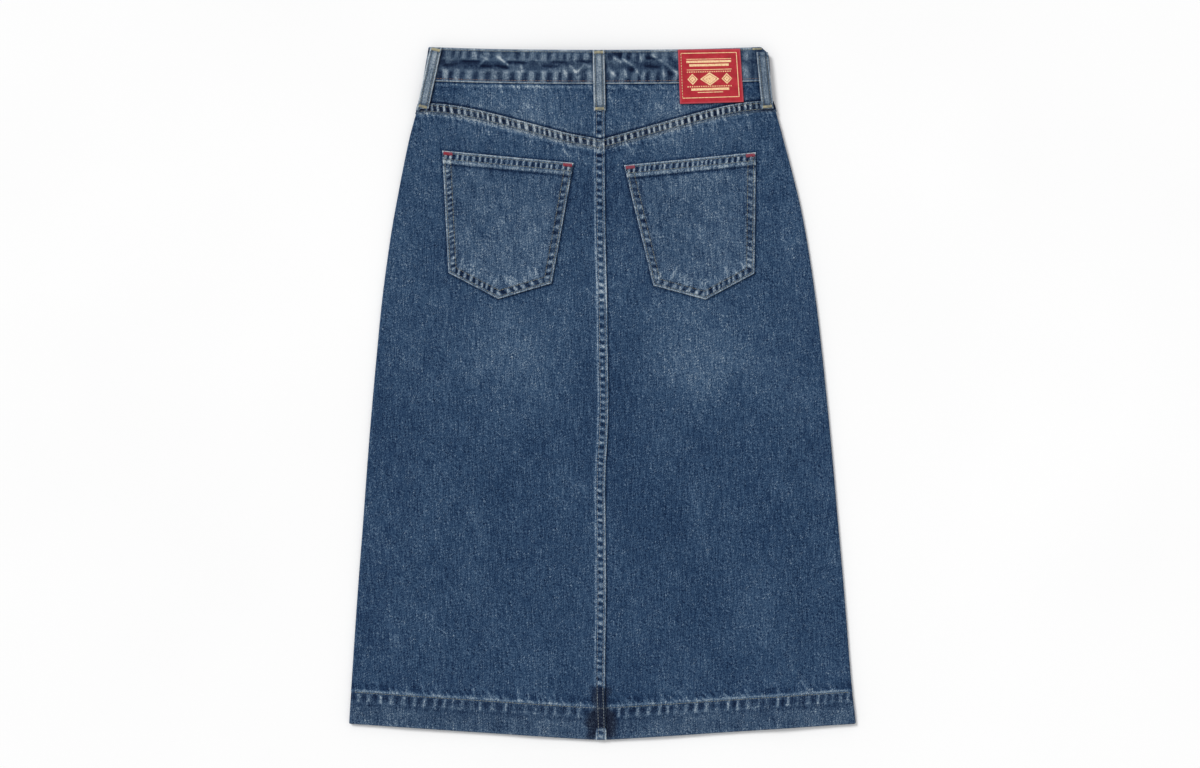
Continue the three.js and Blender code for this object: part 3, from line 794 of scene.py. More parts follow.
def lay_piece(name, layer, sides, zones, shape, materials, wall=CLOTH):
    """Closed piece of cloth on a layer, between two side lines.

    A zone is its start and end line, its length, its rows and its columns. shape gives how far out the cloth
    stands, its tone and its greyness."""
    left, right = sides
    total = sum(zone[2] for zone in zones)
    done, grids = 0, []
    for start, end, length, ups, acrosses in zones:
        x, y, s = plan_grid(start, end, ups, left, right, acrosses)
        out, tone, grey = shape(x, y, s)
        shares = (done + ups * length) / total
        grids.append(Grid(layer.points(x, y, out), tone, grey, plan_cloth(x, y), acrosses, shares))
        done += length
    start, end = zones[0][0], zones[-1][1]
    width = float(right(0.0) - left(0.0))
    ends = ["curl" if line in (left_edge, right_edge) else "plain" for line in sides]
    acrosses, ups = ticks(width, INNER_STEP, *ends), ticks(total, INNER_STEP)
    x, y, s = plan_grid(start, end, ups, left, right, acrosses)
    depth = wall(y, s) if callable(wall) else np.full(y.shape, wall)
    inner = Grid(layer.points(x, y, -depth), INNER_TONE, INNER_GREY, plan_cloth(x, y), acrosses, ups)
    return make_shell(name, grids, inner, layer.facing, materials)


def hem_wall(y, s):
    return np.where(y < hem_line(s) + HEM_HEIGHT + 1, HEM_WALL, CLOTH)


HEM_ZONE = 58
YOKE_ZONE = 26
PANEL_WIDTH = 262
PANEL_LENGTH = 640
YOKE_LENGTH = 60
YOKE_WIDTH = 0.77 * PANEL_WIDTH
PULL_TONE = 0.5  # how much lighter the worn top of a pucker is
RELIEF_TONE = 0.25  # the same for the cloth's unevenness
FRONTS = {-1: FRONT_LEFT, 1: FRONT_RIGHT}
BACK_ENDS = {-1: ("curl", "strip"), 1: ("near", "curl")}  # how close the columns lie at each end
FRONT_ENDS = {-1: ("curl", "near"), 1: ("near", "curl")}
BAND_ENDS = {-1: ("curl", "round"), 1: ("round", "curl")}


def sided(name, side):
    return f"{name}_left" if side < 0 else f"{name}_right"


def hem_top(s):
    return hem_line(s) + HEM_ZONE


def side_calm(x, y):
    return smooth(np.minimum(x - left_edge(y), right_edge(y) - x), 1, 8)


def back_panel(side, materials):
    sides = side_lines(side)
    ends = BACK_ENDS[side]
    puckers = YOKE_PUCKERS + HEM_PUCKERS + CENTRE_PUCKERS + PANEL_CREASES

    def top(s):
        return yoke_seam(s) + FELL_HALF

    def ridge_zone(s):
        return top(s) - YOKE_ZONE

    def shape(x, y, s):
        calm = side_calm(x, y)
        relief = back_relief(x, y) * calm
        pull = strokes_on(x, y, puckers) * calm
        ridge, ridge_tone = yoke_ridge(x, y, s)
        hem, hem_tone = hem_band(x, y, s)
        out = relief + pull + ridge + hem
        stain = hem_stain(x, y)
        tone = back_wash(x, y) + beside_centre(x, y) + ridge_tone + hem_tone
        tone = tone + PULL_TONE * pull + RELIEF_TONE * relief
        if side < 0:
            seam, seam_tone = centre_seam(x, y)
            low = fade(y - yoke_seam(s), -9, -5)
            on = smooth(seam, 0.5, 1)
            out = lerp(out, seam + 0.4 * relief + 0.3 * ridge, on)
            tone = tone + seam_tone * (0.35 + 0.65 * low)
            crossing = on * bell(y - yoke_seam(s) + 1, 6) * smooth(x - centre_line(y), -4, 0)
            tone = lerp(tone, 0.78 + 0.08 * noise(x / 3, y / 3, 49), 0.85 * crossing)
            tone = tone - 0.3 * on * bell(y - yoke_seam(s) + 12.5, 2.2)
            out = out - rim_drop(fell_end(y) - x, 0.9)
        out = out - rim_drop(y - hem_line(s), HEM_WALL / 2) - rim_drop(top(s) - y, 0.8)
        # Painted shade round the pockets and painted shadow beside the belt loops.
        tone = tone - 0.24 * pocket_painted_shade(x, y) - 0.2 * loop_painted_shadow(x, y)
        below_row = smooth(hem_line(s) + HEM_ROW - y, -1.5, 0.5)
        grey = 0.22 * below_row + 0.72 * stain + 0.6 * smooth(ridge, 0.3, 1)
        return out, lerp(tone, STAIN_TONE, 0.96 * stain), np.minimum(grey, 1)

    middle = PANEL_LENGTH - HEM_ZONE - YOKE_ZONE
    hem_rows = ticks(HEM_ZONE, 1.2, "round")
    middle_rows = ticks(middle, 1.35 if side < 0 else 2.2)[1:]
    yoke_rows = ticks(YOKE_ZONE, 0.75, "plain", "round")[1:]
    zones = [
        (hem_line, hem_top, HEM_ZONE, hem_rows, ticks(PANEL_WIDTH, 1.2, *ends)),
        (hem_top, ridge_zone, middle, middle_rows, ticks(PANEL_WIDTH, 2.5, *ends)),
        (ridge_zone, top, YOKE_ZONE, yoke_rows, ticks(PANEL_WIDTH, 0.9, *ends)),
    ]
    return lay_piece(sided("back", side) + "_cloth", BACK, sides, zones, shape, materials, hem_wall)


def yoke(side, materials):
    ends = BACK_ENDS[side]

    def bottom(s):
        return yoke_seam(s) + FELL_HALF + SEAM_GAP

    def top(s):
        return band_bottom(s) - SEAM_GAP

    def shape(x, y, s):
        calm = side_calm(x, y)
        relief = back_relief(x, y) * calm
        pull = strokes_on(x, y, YOKE_EDGE_PUCKERS + BAND_PUCKERS + YOKE_CREASES) * calm
        low = y - bottom(s)
        high = top(s) - y
        out = relief + pull
        tone = back_wash(x, y) + beside_centre(x, y) + PULL_TONE * pull + RELIEF_TONE * relief
        # Painted shade: a dark line at the yoke's foot above the seam's ridge, and one right under the
        # waistband's edge.
        tone = tone + tone_lines(low, YOKE_FOOT_SHADE_LINES) + tone_lines(high, YOKE_TOP_LINES)
        left = fade(x, -10, 10)
        # Painted shadow beside the belt loops darkens the yoke here.
        tone = tone + left * tone_lines(high, YOKE_TOP_LEFT_LINES) - 0.2 * loop_painted_shadow(x, y)
        grey = 0.15 * bell(low - 2, 6)
        if side < 0:
            seam, seam_tone = centre_seam(x, y)
            on = smooth(seam, 0.5, 1)
            out = lerp(out, seam + 0.4 * relief, on)
            tone = tone + seam_tone
            out = out - rim_drop(fell_end(y) - x, 0.9)
        return out - rim_drop(low, 0.5) - rim_drop(high, 0.5), tone, grey

    ups = ticks(YOKE_LENGTH, 1.3, "round", "round")
    zones = [(bottom, top, YOKE_LENGTH, ups, ticks(YOKE_WIDTH, 1.6, *ends))]
    return lay_piece(sided("yoke", side) + "_cloth", BACK, side_lines(side), zones, shape, materials)


# Light wrinkles and dark troughs of the waistband: x and y of both ends, half width, height
BAND_MARKS = [
    (-181, 371, -176, 371, 4.5, -0.2),
    (-180, 367.6, -162, 368.4, 1.7, -0.26),
    (-160, 372.2, -136, 371.4, 1.5, -0.28),
    (-139, 367, -123, 366.2, 2, -0.32),
    (-123, 367.4, -103, 364.8, 1.8, -0.3),
    (-107, 371.2, -85, 370, 1.8, -0.32),
    (-86, 371.6, -66, 371, 1.3, -0.2),
    (-69, 366.6, -49, 365.6, 1.7, -0.24),
    (-58, 371, -41, 370.4, 1.6, -0.28),
    (-31, 372, -11, 371, 1.9, -0.28),
    (-30, 356, -17, 362, 2, -0.2),
    (-139, 365.5, -130, 376, 1.2, 0.2),
    (-137, 378, -127, 373, 1.2, 0.2),
    (-118, 378, -103, 365, 1.2, 0.24),
    (-92, 367, -88, 360, 1.2, 0.16),
    (-75, 374, -70, 368, 1.2, 0.14),
    (-37, 367.5, -29, 358.5, 1.4, 0.26),
    (-43, 363.5, -40, 353.5, 1.2, 0.18),
    (-29, 359, -20, 368, 1.2, 0.18),
    (-24, 369.5, -13, 366, 1.2, 0.16),
    (12, 376.5, 22, 370, 1.4, 0.2),
    (23, 373.5, 35, 366, 1.5, 0.26),
    (34, 366.5, 43, 354, 1.5, 0.28),
    (41, 382, 43.5, 370, 1.5, 0.22),
    (53, 379.5, 68, 371, 1.5, 0.22),
    (67, 371.5, 84, 358.5, 1.5, 0.22),
    (67.5, 370, 68.5, 354, 1.6, 0.2),
    (24, 363.5, 28, 352, 1.6, 0.2),
    (6, 363.5, 17, 352, 1.6, 0.18),
    (12, 380, 22, 378, 2.6, -0.22),
    (30, 360, 36, 364, 3.4, -0.24),
    (48, 375.5, 64, 374, 2.2, -0.22),
    (47, 366.5, 64, 365, 1.9, -0.26),
    (74, 374.5, 84, 371, 2.4, -0.2),
    (72, 360, 82, 356, 2.6, -0.18),
    (165, 378, 165.5, 356, 3.2, -0.14),
    (-180, 369.5, -104, 368.6, 5, -0.09),
    (-102, 370.6, -14, 370, 4.6, -0.09),
    (10, 374, 46, 372, 4.6, -0.08),
    (44, 367, 84, 364, 5, -0.08),
]
MARK_TAIL = (0.8, 1.2)
BAND_GREY = 0.48
BAND_LOW_ROW = 3  # its stitched rows, up from its lower edge and from its top
BAND_TOP_ROW = -2.6
BESIDE_PATCH = (150, 157)  # where the waistband gets smoother
LIGHT_STRIP = (157, 167)  # the plain lighter cloth beside the patch


def loop_painted_shadow(x, y):
    """Painted shadow of each belt loop, from 0 to 1: a dark line beside it, stronger at its right hand, and
    one under its lower end.
    """
    found = np.zeros(np.shape(x))
    for (tx, ty), (bx, by) in BACK_LOOPS.values():
        middle = lerp(bx, tx, (y - by) / (ty - by))
        aside = x - middle
        along = smooth(y, by - 3, by) * fade(y, ty, ty + 3)
        right = bell(aside - LOOP_WIDTH / 2 - 1, 1.7)
        left = 0.55 * bell(aside + LOOP_WIDTH / 2 + 0.8, 1.2)
        under = fade(np.abs(aside), LOOP_WIDTH / 2, LOOP_WIDTH / 2 + 1.5)
        below = 0.9 * bell(y - by + 1.4, 1.3) * under
        found = np.maximum(found, np.maximum((right + left) * along, below))
    return found


def pocket_painted_shade(x, y):
    """Painted shade in a dark line round a pocket's raised edge, from 0 to 1."""
    found = np.zeros(np.shape(x))
    for corners in POCKETS.values():
        edge, _, down = edge_distances(corners, x, y)
        found = np.maximum(found, bell(np.minimum(edge, down) + 0.9, 1.3))
    return found


def band_shape(bottom, top, marks):
    """Relief and wash of a folded waistband."""

    def shape(x, y, s):
        calm = side_calm(x, y)
        low = y - bottom(s)
        high = top(s) - y
        lower = bar_wave(x + 210 - 0.1 * low, BAND_BARS, 1.3)
        upper = bar_wave(x + 210 + 0.1 * high, BAND_TOP_BARS, 1.2)
        in_low = smooth(low, 1.4, 2.6) * fade(low, 10, 16)
        in_high = smooth(high, 2.8, 4.2) * fade(high, 9, 14)
        pull = strokes_on(x, y, marks, MARK_TAIL) * calm
        ripple = noises(x, y, BAND_RELIEF)
        rows = stitch_groove(low - BAND_LOW_ROW) + stitch_groove(high + BAND_TOP_ROW)
        out = BAND_RISE + rows + pull + calm * ripple + 0.22 * lower * in_low + 0.16 * upper * in_high
        bars = two_sided(lower * in_low, 0.25, 0.42) + two_sided(upper * in_high, 0.18, 0.3)
        bars = bars * (1 - 0.65 * smooth(x, *BESIDE_PATCH))
        tone = 0.54 - 0.05 * smooth(x, 0, 10) + streaks(x, y) + bars + 1.7 * pull
        tone = tone + 0.6 * ripple + 0.05 * noise(x / 2, y / 2.5, 54)
        left = fade(x, -10, 0)
        right = smooth(x, 0, 10) * fade(x, 90, 110)
        worn_foot = fade(low, 0.5, 1.5)
        tone = tone + (0.36 + 0.12 * right) * worn_foot + tone_lines(low, BAND_FOOT_LINES)
        tone = tone + tone_lines(high, BAND_TOP_LINES) + left * tone_lines(high, BAND_LEFT_LINES)
        tone = tone + right * tone_lines(high, BAND_RIGHT_LINES)
        grey = BAND_GREY + 0.1 * noise(x / 30, y / 12, 56)
        return out - rim_drop(low, 0.7) - rim_drop(high, 1.3), tone, grey

    return shape


def back_band(materials):
    folded = band_shape(band_bottom, waist_line, BAND_MARKS)

    def shape(x, y, s):
        out, tone, grey = folded(x, y, s)
        low, high = LIGHT_STRIP
        light = smooth(x, low - 1, low + 1) * fade(x, high - 1, high + 1)
        # The belt loops' painted shadow darkens the band here.
        tone = tone + 0.14 * light - 0.1 * smooth(x, high - 1, high + 1) - 0.24 * loop_painted_shadow(x, y)
        return out, tone, grey

    ups = ticks(BAND_HEIGHT, 1.15, "round", "round")
    zones = [(band_bottom, waist_line, BAND_HEIGHT, ups, ticks(390, 1.25, "curl", "curl"))]
    sides = (left_edge, right_edge)
    return lay_piece("waistband_back_cloth", BACK, sides, zones, shape, materials, CLOTH / 2)


# Pocket corners in plan
POCKETS = {
    "left": {
        "outer_top": (-179.4, 271.9),
        "inner_top": (-32.3, 257.8),
        "inner_bottom": (-56.9, 123.4),
        "tip": (-116.7, 105.8),
        "outer_bottom": (-172.6, 135.1),
    },
    "right": {
        "outer_top": (171.7, 270),
        "inner_top": (24.1, 255.2),
        "inner_bottom": (57, 120.8),
        "tip": (115.4, 105.1),
        "outer_bottom": (170.1, 134.4),
    },
}
POCKET_WIDTH = 148
POCKET_LENGTH = 150
POCKET_HEM = 14.5
POCKET_EDGE = 11
POCKET_HEM_RISE = 1
POCKET_EDGE_RISE = 0.5
POCKET_ROWS = (2.4, 8.8)  # its stitched rows, from its edge
POCKET_HEM_ROWS = (2.6, 9.2)
POCKET_BARS = (7.2, 9.4)  # spacing of the puckers on its outer and inner half
POCKET_ORDER = ("outer_top", "outer_bottom", "tip", "inner_bottom", "inner_top")


def pocket_plan(corners, u, v):
    """Plan point at the share u from the outer to the inner side, and v from the bottom to the top."""
    at = {key: np.array(value, float) for key, value in corners.items()}
    u, v = u[..., None], v[..., None]
    low = np.where(
        u < 0.5,
        lerp(at["outer_bottom"], at["tip"], 2 * u),
        lerp(at["tip"], at["inner_bottom"], 2 * u - 1),
    )
    return lerp(low, lerp(at["outer_top"], at["inner_top"], u), v)


def pocket_edges(corners):
    """Start, length, direction and inward normal of each edge of a pocket, with the top last."""
    at = [np.array(corners[key], float) for key in POCKET_ORDER]
    middle = np.mean(at, axis=0)
    edges = []
    for a, b in zip(at, at[1:] + at[:1]):
        length = np.linalg.norm(b - a)
        tangent = (b - a) / length
        normal = np.array([-tangent[1], tangent[0]])
        if (middle - a) @ normal < 0:
            normal = -normal
        edges.append((a, length, tangent, normal))
    return edges


def edge_distances(corners, x, y):
    """Distance in from each edge but the top, the place along it, and the distance down from the top."""
    found, run = [], 0
    for a, length, tangent, normal in pocket_edges(corners):
        depth = (x - a[0]) * normal[0] + (y - a[1]) * normal[1]
        along = (x - a[0]) * tangent[0] + (y - a[1]) * tangent[1]
        found.append((depth, along + run))
        run += length
    down = found.pop()[0]
    depths = np.stack([depth for depth, _ in found])
    alongs = np.stack([along for _, along in found])
    nearest = depths.argmin(0)
    return depths.min(0), np.take_along_axis(alongs, nearest[None], 0)[0], down


def pocket_shape(corners, seed):
    side_bars = make_bars(seed, 440, *POCKET_BARS)
    hem_bars = make_bars(seed + 1, 560, 5.9, None, 0.6)

    at = {key: np.array(value) for key, value in corners.items()}
    hem_path = np.array([at["outer_top"], at["inner_top"]]) - (0, POCKET_HEM)
    low_path = np.array([at["outer_bottom"], at["tip"], at["inner_bottom"]]) + (0, POCKET_EDGE)
    if at["outer_top"][0] > at["inner_top"][0]:
        hem_path, low_path = hem_path[::-1], low_path[::-1]
    puckers = seam_strokes(seed + 6, hem_path, 26, (0, 2), (6, 15), (-10, 45), 1.3, 0.34)
    puckers += seam_strokes(seed + 7, low_path[::-1], 26, (-3, 1), (7, 18), (-20, 20), 1.7, 0.62)

    def shape(x, y):
        edge, along, down = edge_distances(corners, x, y)
        below_hem = smooth(down, POCKET_HEM - 0.6, POCKET_HEM + 0.6)
        chatter = bar_wave(along + 0.35 * edge + 20, side_bars, 1.7, 0.15)
        hem_chatter = bar_wave(x + 300 + 0.15 * down, hem_bars, 1.7, 0.15)
        between = smooth(edge, 2.8, 3.8) * fade(edge, 8.2, 10) * smooth(down, 15, 18)
        rows = stitch_groove(edge - POCKET_ROWS[0]) + stitch_groove(edge - POCKET_ROWS[1]) * below_hem
        hem_rows = stitch_groove(down - POCKET_HEM_ROWS[0]) + stitch_groove(down - POCKET_HEM_ROWS[1])
        hem = 1 - below_hem
        fold = hem * smooth(down, 9.8, 11) * (0.8 + 0.3 * noise(x / 4, 1.5, seed))
        turned = fade(edge, POCKET_EDGE - 0.6, POCKET_EDGE + 0.8)
        relief = back_relief(x, y) + 0.1 * noise(x / 26, y / 30, seed)
        out = CLOTH + relief + rows + hem_rows * smooth(edge, 3, 5)
        out = out + np.maximum(hem * POCKET_HEM_RISE, turned * POCKET_EDGE_RISE)
        between_hem = hem * smooth(down, 2.6, 3.8) * fade(down, 8.4, 9.6)
        out = out + 0.22 * chatter * between + 0.2 * hem_chatter * between_hem + strokes_on(x, y, puckers)
        rim = np.minimum(edge, down)
        out = out - rim_drop(rim, 0.9)
        at_foot = smooth(down, 118, 132)
        tone = back_wash(x, y) + 0.088 + RELIEF_TONE * relief + PULL_TONE * strokes_on(x, y, puckers)
        tone = tone + (1 + 0.5 * at_foot) * two_sided(chatter * between, 0.23, 0.36)
        tone = tone + noises(x, y, POCKET_WASH, seed)
        tone = tone + below_hem * tone_lines(edge, POCKET_ROW_LINES) + tone_lines(edge, POCKET_EDGE_LINES)
        tone = tone + 0.33 * fade(edge, 0.9, 2) * (0.85 + 0.3 * noise(along / 8, 0.5, seed + 3))
        # The top edge and the fold are worn lighter; below the hem lies a dark line of painted shade.
        tone = tone + 0.4 * fade(down, 0.9, 2) + 0.29 * fold + tone_lines(down, POCKET_HEM_SHADE_LINES)
        tone = tone + hem * (0.07 * hem_chatter * smooth(down, 9.5, 10.5) - 0.02)
        tone = tone + 0.42 * hem_chatter * between_hem
        # A broad soft band of painted shade below the pocket's hem.
        tone = tone - 0.07 * bell(down - POCKET_HEM - 4, 3) * (1 + noise(x / 6, y / 4, seed + 8))
        tone = tone + 0.02 * turned + 0.08 * noise(x / 1.8, y / 2.1, seed + 4) * (turned + hem)
        return out, tone, 0.08 + 0.14 * hem + 0.2 * turned

    return shape


def pocket(name, side, materials, seed):
    corners = POCKETS[name]
    acrosses = ticks(POCKET_WIDTH, 1.35, "near", "near")
    ups = ticks(POCKET_LENGTH, 1.25, "near", "strip")
    inner_ticks = ticks(POCKET_WIDTH, INNER_STEP), ticks(POCKET_LENGTH, INNER_STEP)
    grids = []
    for us, vs in ((acrosses, ups), inner_ticks):
        share = us if side < 0 else 1 - us
        u, v = np.meshgrid(share, vs)
        plan = pocket_plan(corners, u, v)
        grids.append((plan[..., 0], plan[..., 1], us, vs))
    x, y, us, vs = grids[0]
    out, tone, grey = pocket_shape(corners, seed)(x, y)
    outer = Grid(BACK.points(x, y, SEAM_GAP + out), tone, grey, plan_cloth(x, y), us, vs)
    x, y, us, vs = grids[1]
    points = BACK.points(x, y, np.full(x.shape, SEAM_GAP))
    inner = Grid(points, INNER_TONE, INNER_GREY, plan_cloth(x, y), us, vs)
    return make_shell(f"pocket_{name}_cloth", [outer], inner, 1, materials)


# Belt loops: the middle of their ends in plan
LOOP_WIDTH = 13
LOOP_WALL = 1.6
BACK_LOOPS = {
    "loop_centre": ((-4.4, 384), (-3.1, 316)),
    "loop_side_left": ((-186.2, 387.2), (-201.2, 318.5)),
    "loop_side_right": ((178.6, 382), (184.9, 318.5)),
}
FRONT_LOOPS = {
    "loop_front_left": ((-92, 378), (-95, 312)),
    "loop_front_right": ((84, 378), (87, 312)),
}
LOOP_TONE = 0.69
WASHED_LESS = {"loop_side_right": -0.13}
LOOP_LENGTH = 69
LOOP_ROW = 2.7  # its stitched rows, from its edge
BARTACK_RUN = 3.4  # how much of a loop's end its bartack takes


def loop_frame(layer, ends, rises):
    """Points of a strap between its two ends. The plan offset across and the share along give a place."""
    (tx, ty), (bx, by) = ends
    heights = []
    for (x, y), rise in zip(ends, rises):
        heights.append(layer.height(x, y) + layer.facing * (rise + SEAM_GAP))
    top_z, bottom_z = heights

    def place(dx, v, out):
        x = lerp(bx, tx, v) + dx
        y = lerp(by, ty, v) + 0 * dx
        z = lerp(bottom_z, top_z, v) + layer.facing * out
        return np.stack(np.broadcast_arrays(x, y, z), -1)

    return place


def belt_loop(name, layer, ends, rises, materials, seed, swell=1):
    """A strap held at both ends. The ones that lie on the table have no swell."""
    place = loop_frame(layer, ends, rises)
    half = LOOP_WIDTH / 2
    us = ticks(LOOP_WIDTH, 0.85, "round", "round")
    vs = ticks(LOOP_LENGTH, 1.5, "round", "round")
    u, v = np.meshgrid(us, vs)
    dx = (u - 0.5) * LOOP_WIDTH
    down = (1 - v) * LOOP_LENGTH
    edge = half - np.abs(dx)
    end = np.minimum(down, LOOP_LENGTH - down)
    bow = 0.5 * swell * smooth(end, 4, 16)
    rows = stitch_groove(edge - LOOP_ROW) * 1.1
    tacked = fade(end, BARTACK_RUN, BARTACK_RUN + 1.2)
    wobble = 0.1 * noise(dx / 4, down / 6, seed)
    padding = swell * (0.25 * smooth(edge, 3.2, 4.6) + wobble)
    out = LOOP_WALL + padding + rows + bow - 0.35 * tacked - 0.1 * (1 - swell)
    out = out - rim_drop(edge, 0.7) - rim_drop(end, 0.5)
    worn = fade(edge, 0.9, 2)
    tone = LOOP_TONE + WASHED_LESS.get(name, 0)
    tone = tone + 0.08 * smooth(edge, 3.4, 5) + 0.24 * worn - 0.26 * bell(edge - LOOP_ROW, 0.9)
    tone = tone + noises(dx, down, LOOP_WASH, seed)
    tone = tone - 0.24 * bell(end - BARTACK_RUN - 1.6, 1.2)
    sheet = plan_cloth(dx, -down)
    outer = Grid(place(dx, v, out), tone, 0.62, sheet, us, vs)
    us, vs = np.linspace(0, 1, 3), np.linspace(0, 1, 15)
    u, v = np.meshgrid(us, vs)
    dx = (u - 0.5) * LOOP_WIDTH
    end = np.minimum(v, 1 - v) * LOOP_LENGTH
    bow = 0.5 * swell * smooth(end, 4, 16)
    inner = Grid(place(dx, v, bow), INNER_TONE, INNER_GREY, plan_cloth(dx, (v - 1) * LOOP_LENGTH), us, vs)
    return make_shell(f"{name}_cloth", [outer], inner, layer.facing, materials)


# The leather patch
PATCH = {
    "top_left": (84.3, 384.6),
    "top_right": (154, 385.9),
    "bottom_right": (158.1, 326.1),
    "bottom_left": (86.7, 323.8),
}
PATCH_WALL = 1.3
PATCH_SEAT = max(BAND_RISE, FELL_RISE) + SEAM_GAP
PATCH_WIDTH = 70
PATCH_HEIGHT = 60.5


def patch_plan(u, v):
    at = {key: np.array(value, float) for key, value in PATCH.items()}
    u, v = u[..., None], v[..., None]
    return lerp(lerp(at["bottom_left"], at["bottom_right"], u), lerp(at["top_left"], at["top_right"], u), v)


def patch_edge(u, v):
    """Distance in from the patch's nearest edge."""
    return np.minimum(np.minimum(u, 1 - u) * PATCH_WIDTH, np.minimum(v, 1 - v) * PATCH_HEIGHT)


def patch_top(u, v):
    """How far the patch's face stands over its seat."""
    edge = patch_edge(u, v)
    grain = 0.05 * noise(u * 24, v * 20, 61) + 0.08 * noise(u * 6, v * 5, 62)
    pressed = -0.15 * bell(edge - 1.4, 0.7)
    return PATCH_WALL + grain + pressed - rim_drop(edge, 0.6)


def patch_face(us, vs, height, wear):
    """One face of the patch. Its height over the seat and its wear follow from the shares across and up."""
    u, v = np.meshgrid(us, vs)
    plan = patch_plan(u, v)
    sheet = np.stack([u * PATCH_WIDTH, v * PATCH_HEIGHT], -1)
    points = BACK.points(plan[..., 0], plan[..., 1], PATCH_SEAT + height(u, v))
    return Grid(points, wear(u, v), 0, sheet, us, vs)


def patch_wear(u, v):
    return fade(patch_edge(u, v), 0.5, 2.2)


def plain_face(u, v):
    return np.zeros(u.shape)


def patch(materials):
    us, vs = ticks(PATCH_WIDTH, 1.2, "round", "round"), ticks(PATCH_HEIGHT, 1.2, "round", "round")
    few = np.linspace(0, 1, 6)
    inner = patch_face(few, few, plain_face, plain_face)
    return make_shell("patch_leather", [patch_face(us, vs, patch_top, patch_wear)], inner, 1, materials)


# Front pieces
FLY_EDGE = 4
OVERLAP_END = 18
UNDERLAP_END = -14
FLY_WIDTH = 46  # the fly's topstitching, from the front's edge
FLY_BOTTOM = 222
FRONT_LENGTH = 720
FRONT_BAND_WIDTH = 210
THINNEST = 0.2  # wall at the band's rounded corners


# Faded and dark places of the front: x, y, half width, half height, change of tone
FRONT_FADES = [
    (-120, 40, 80, 150, 0.12),
    (120, 40, 80, 150, 0.12),
    (0, 230, 60, 60, 0.04),
]


def front_wash(x, y):
    return faded(BASE_TONE + streaks(x + 700, y), x, y, FRONT_FADES)


# Main creases of the front: x and y of both ends, half width, height
FRONT_CREASES = [
    (-36, 262, -90, 282, 3, -0.25),
    (36, 258, 96, 284, 3, -0.25),
    (-30, 214, -78, 226, 3, -0.2),
    (34, 212, 80, 220, 3, -0.2),
    (-226, 180, -206, 150, 3, -0.2),
    (216, 176, 196, 150, 3, -0.2),
    (-150, -130, -124, -200, 4, -0.15),
    (130, -150, 156, -220, 4, -0.15),
]


FRONT_SINK = 0.22


def front_relief(x, y):
    """The front rests on the table, so its unevenness only goes inwards."""
    return noises(x, y, FRONT_RELIEF) - FRONT_SINK + strokes_on(x, y, FRONT_CREASES)


def front_panel(side, materials):
    layer = FRONTS[side]
    gap = 0 if side < 0 else SEAM_GAP

    def fly(y):
        return centre_line(y) + FLY_EDGE + gap

    def top(s):
        return front_band_bottom(s) - SEAM_GAP

    def shape(x, y, s):
        hem, hem_tone = hem_band(x, y, s)
        from_fly = np.abs(x - fly(y))
        out = front_relief(x, y) * side_calm(x, y) + np.minimum(hem, 0.18)
        out = out + stitch_groove(from_fly - 2) + stitch_groove(from_fly - 8) * (y < FLY_BOTTOM)
        high = top(s) - y
        # The fly's worn edge is lighter; the dark line right under the waistband's edge is painted shade.
        tone = front_wash(x, y) + hem_tone + 0.12 * fade(from_fly, 0.6, 1.6) - 0.1 * bell(high, 2)
        chatter = bar_wave(y + 400, FLY_BARS) * bell(from_fly - 5, 2.2) * (y < FLY_BOTTOM)
        tone = tone + two_sided(chatter, 0.2, 0.22) + 0.1 * fade(from_fly, 1, 2.4)
        out = out + 0.12 * np.minimum(chatter, 0)
        out = out - rim_drop(y - hem_line(s), HEM_WALL / 2) - rim_drop(from_fly, 0.7) - rim_drop(high, 0.5)
        return out, tone, 0.05

    rest = FRONT_LENGTH - HEM_ZONE
    sides = (left_edge, fly) if side < 0 else (fly, right_edge)
    ends = FRONT_ENDS[side]
    hem_rows, rest_rows = ticks(HEM_ZONE, 1.6, "round"), ticks(rest, 2.8, "plain", "round")[1:]
    zones = [
        (hem_line, hem_top, HEM_ZONE, hem_rows, ticks(PANEL_WIDTH, 2.2, *ends)),
        (hem_top, top, rest, rest_rows, ticks(PANEL_WIDTH, 4, *ends)),
    ]
    return lay_piece(sided("front", side) + "_cloth", layer, sides, zones, shape, materials, hem_wall)


def front_band(side, materials):
    layer = FRONTS[side]

    def end(y):
        return centre_line(y) + (OVERLAP_END if side < 0 else UNDERLAP_END)

    folded = band_shape(front_band_bottom, front_waist_line, [])

    def shape(x, y, s):
        out, tone, grey = folded(x, y, s)
        from_end = np.abs(x - end(y))
        out = np.minimum(out, BAND_RISE) - rim_drop(from_end, 1) + stitch_groove(from_end - 2.6)
        out = np.maximum(out, THINNEST - CLOTH / 2)
        return out, tone + 0.12 * fade(from_end, 0.7, 1.7), grey

    ups = ticks(BAND_HEIGHT, 1.8, "round", "round")
    ends = BAND_ENDS[side]
    sides = (left_edge, end) if side < 0 else (end, right_edge)
    acrosses = ticks(FRONT_BAND_WIDTH, 2, *ends)
    zones = [(front_band_bottom, front_waist_line, BAND_HEIGHT, ups, acrosses)]
    name = sided("waistband_front", side) + "_cloth"
    return lay_piece(name, layer, sides, zones, shape, materials, CLOTH / 2)


# Stitches
TACK_RUN = 10
STITCH_PITCH = 3.3
STITCH_LENGTH = 2.7
STITCH_RADIUS = 0.3
STITCH_SIDES = 5
RAY_REACH = 60

# Rings of a stitch: place along it as a share of its length, radius and height as shares of its radius
STITCH_RINGS = ((-0.5, 0.4, -0.3), (-0.3, 1, 0.35), (0.3, 1, 0.35), (0.5, 0.4, -0.3))


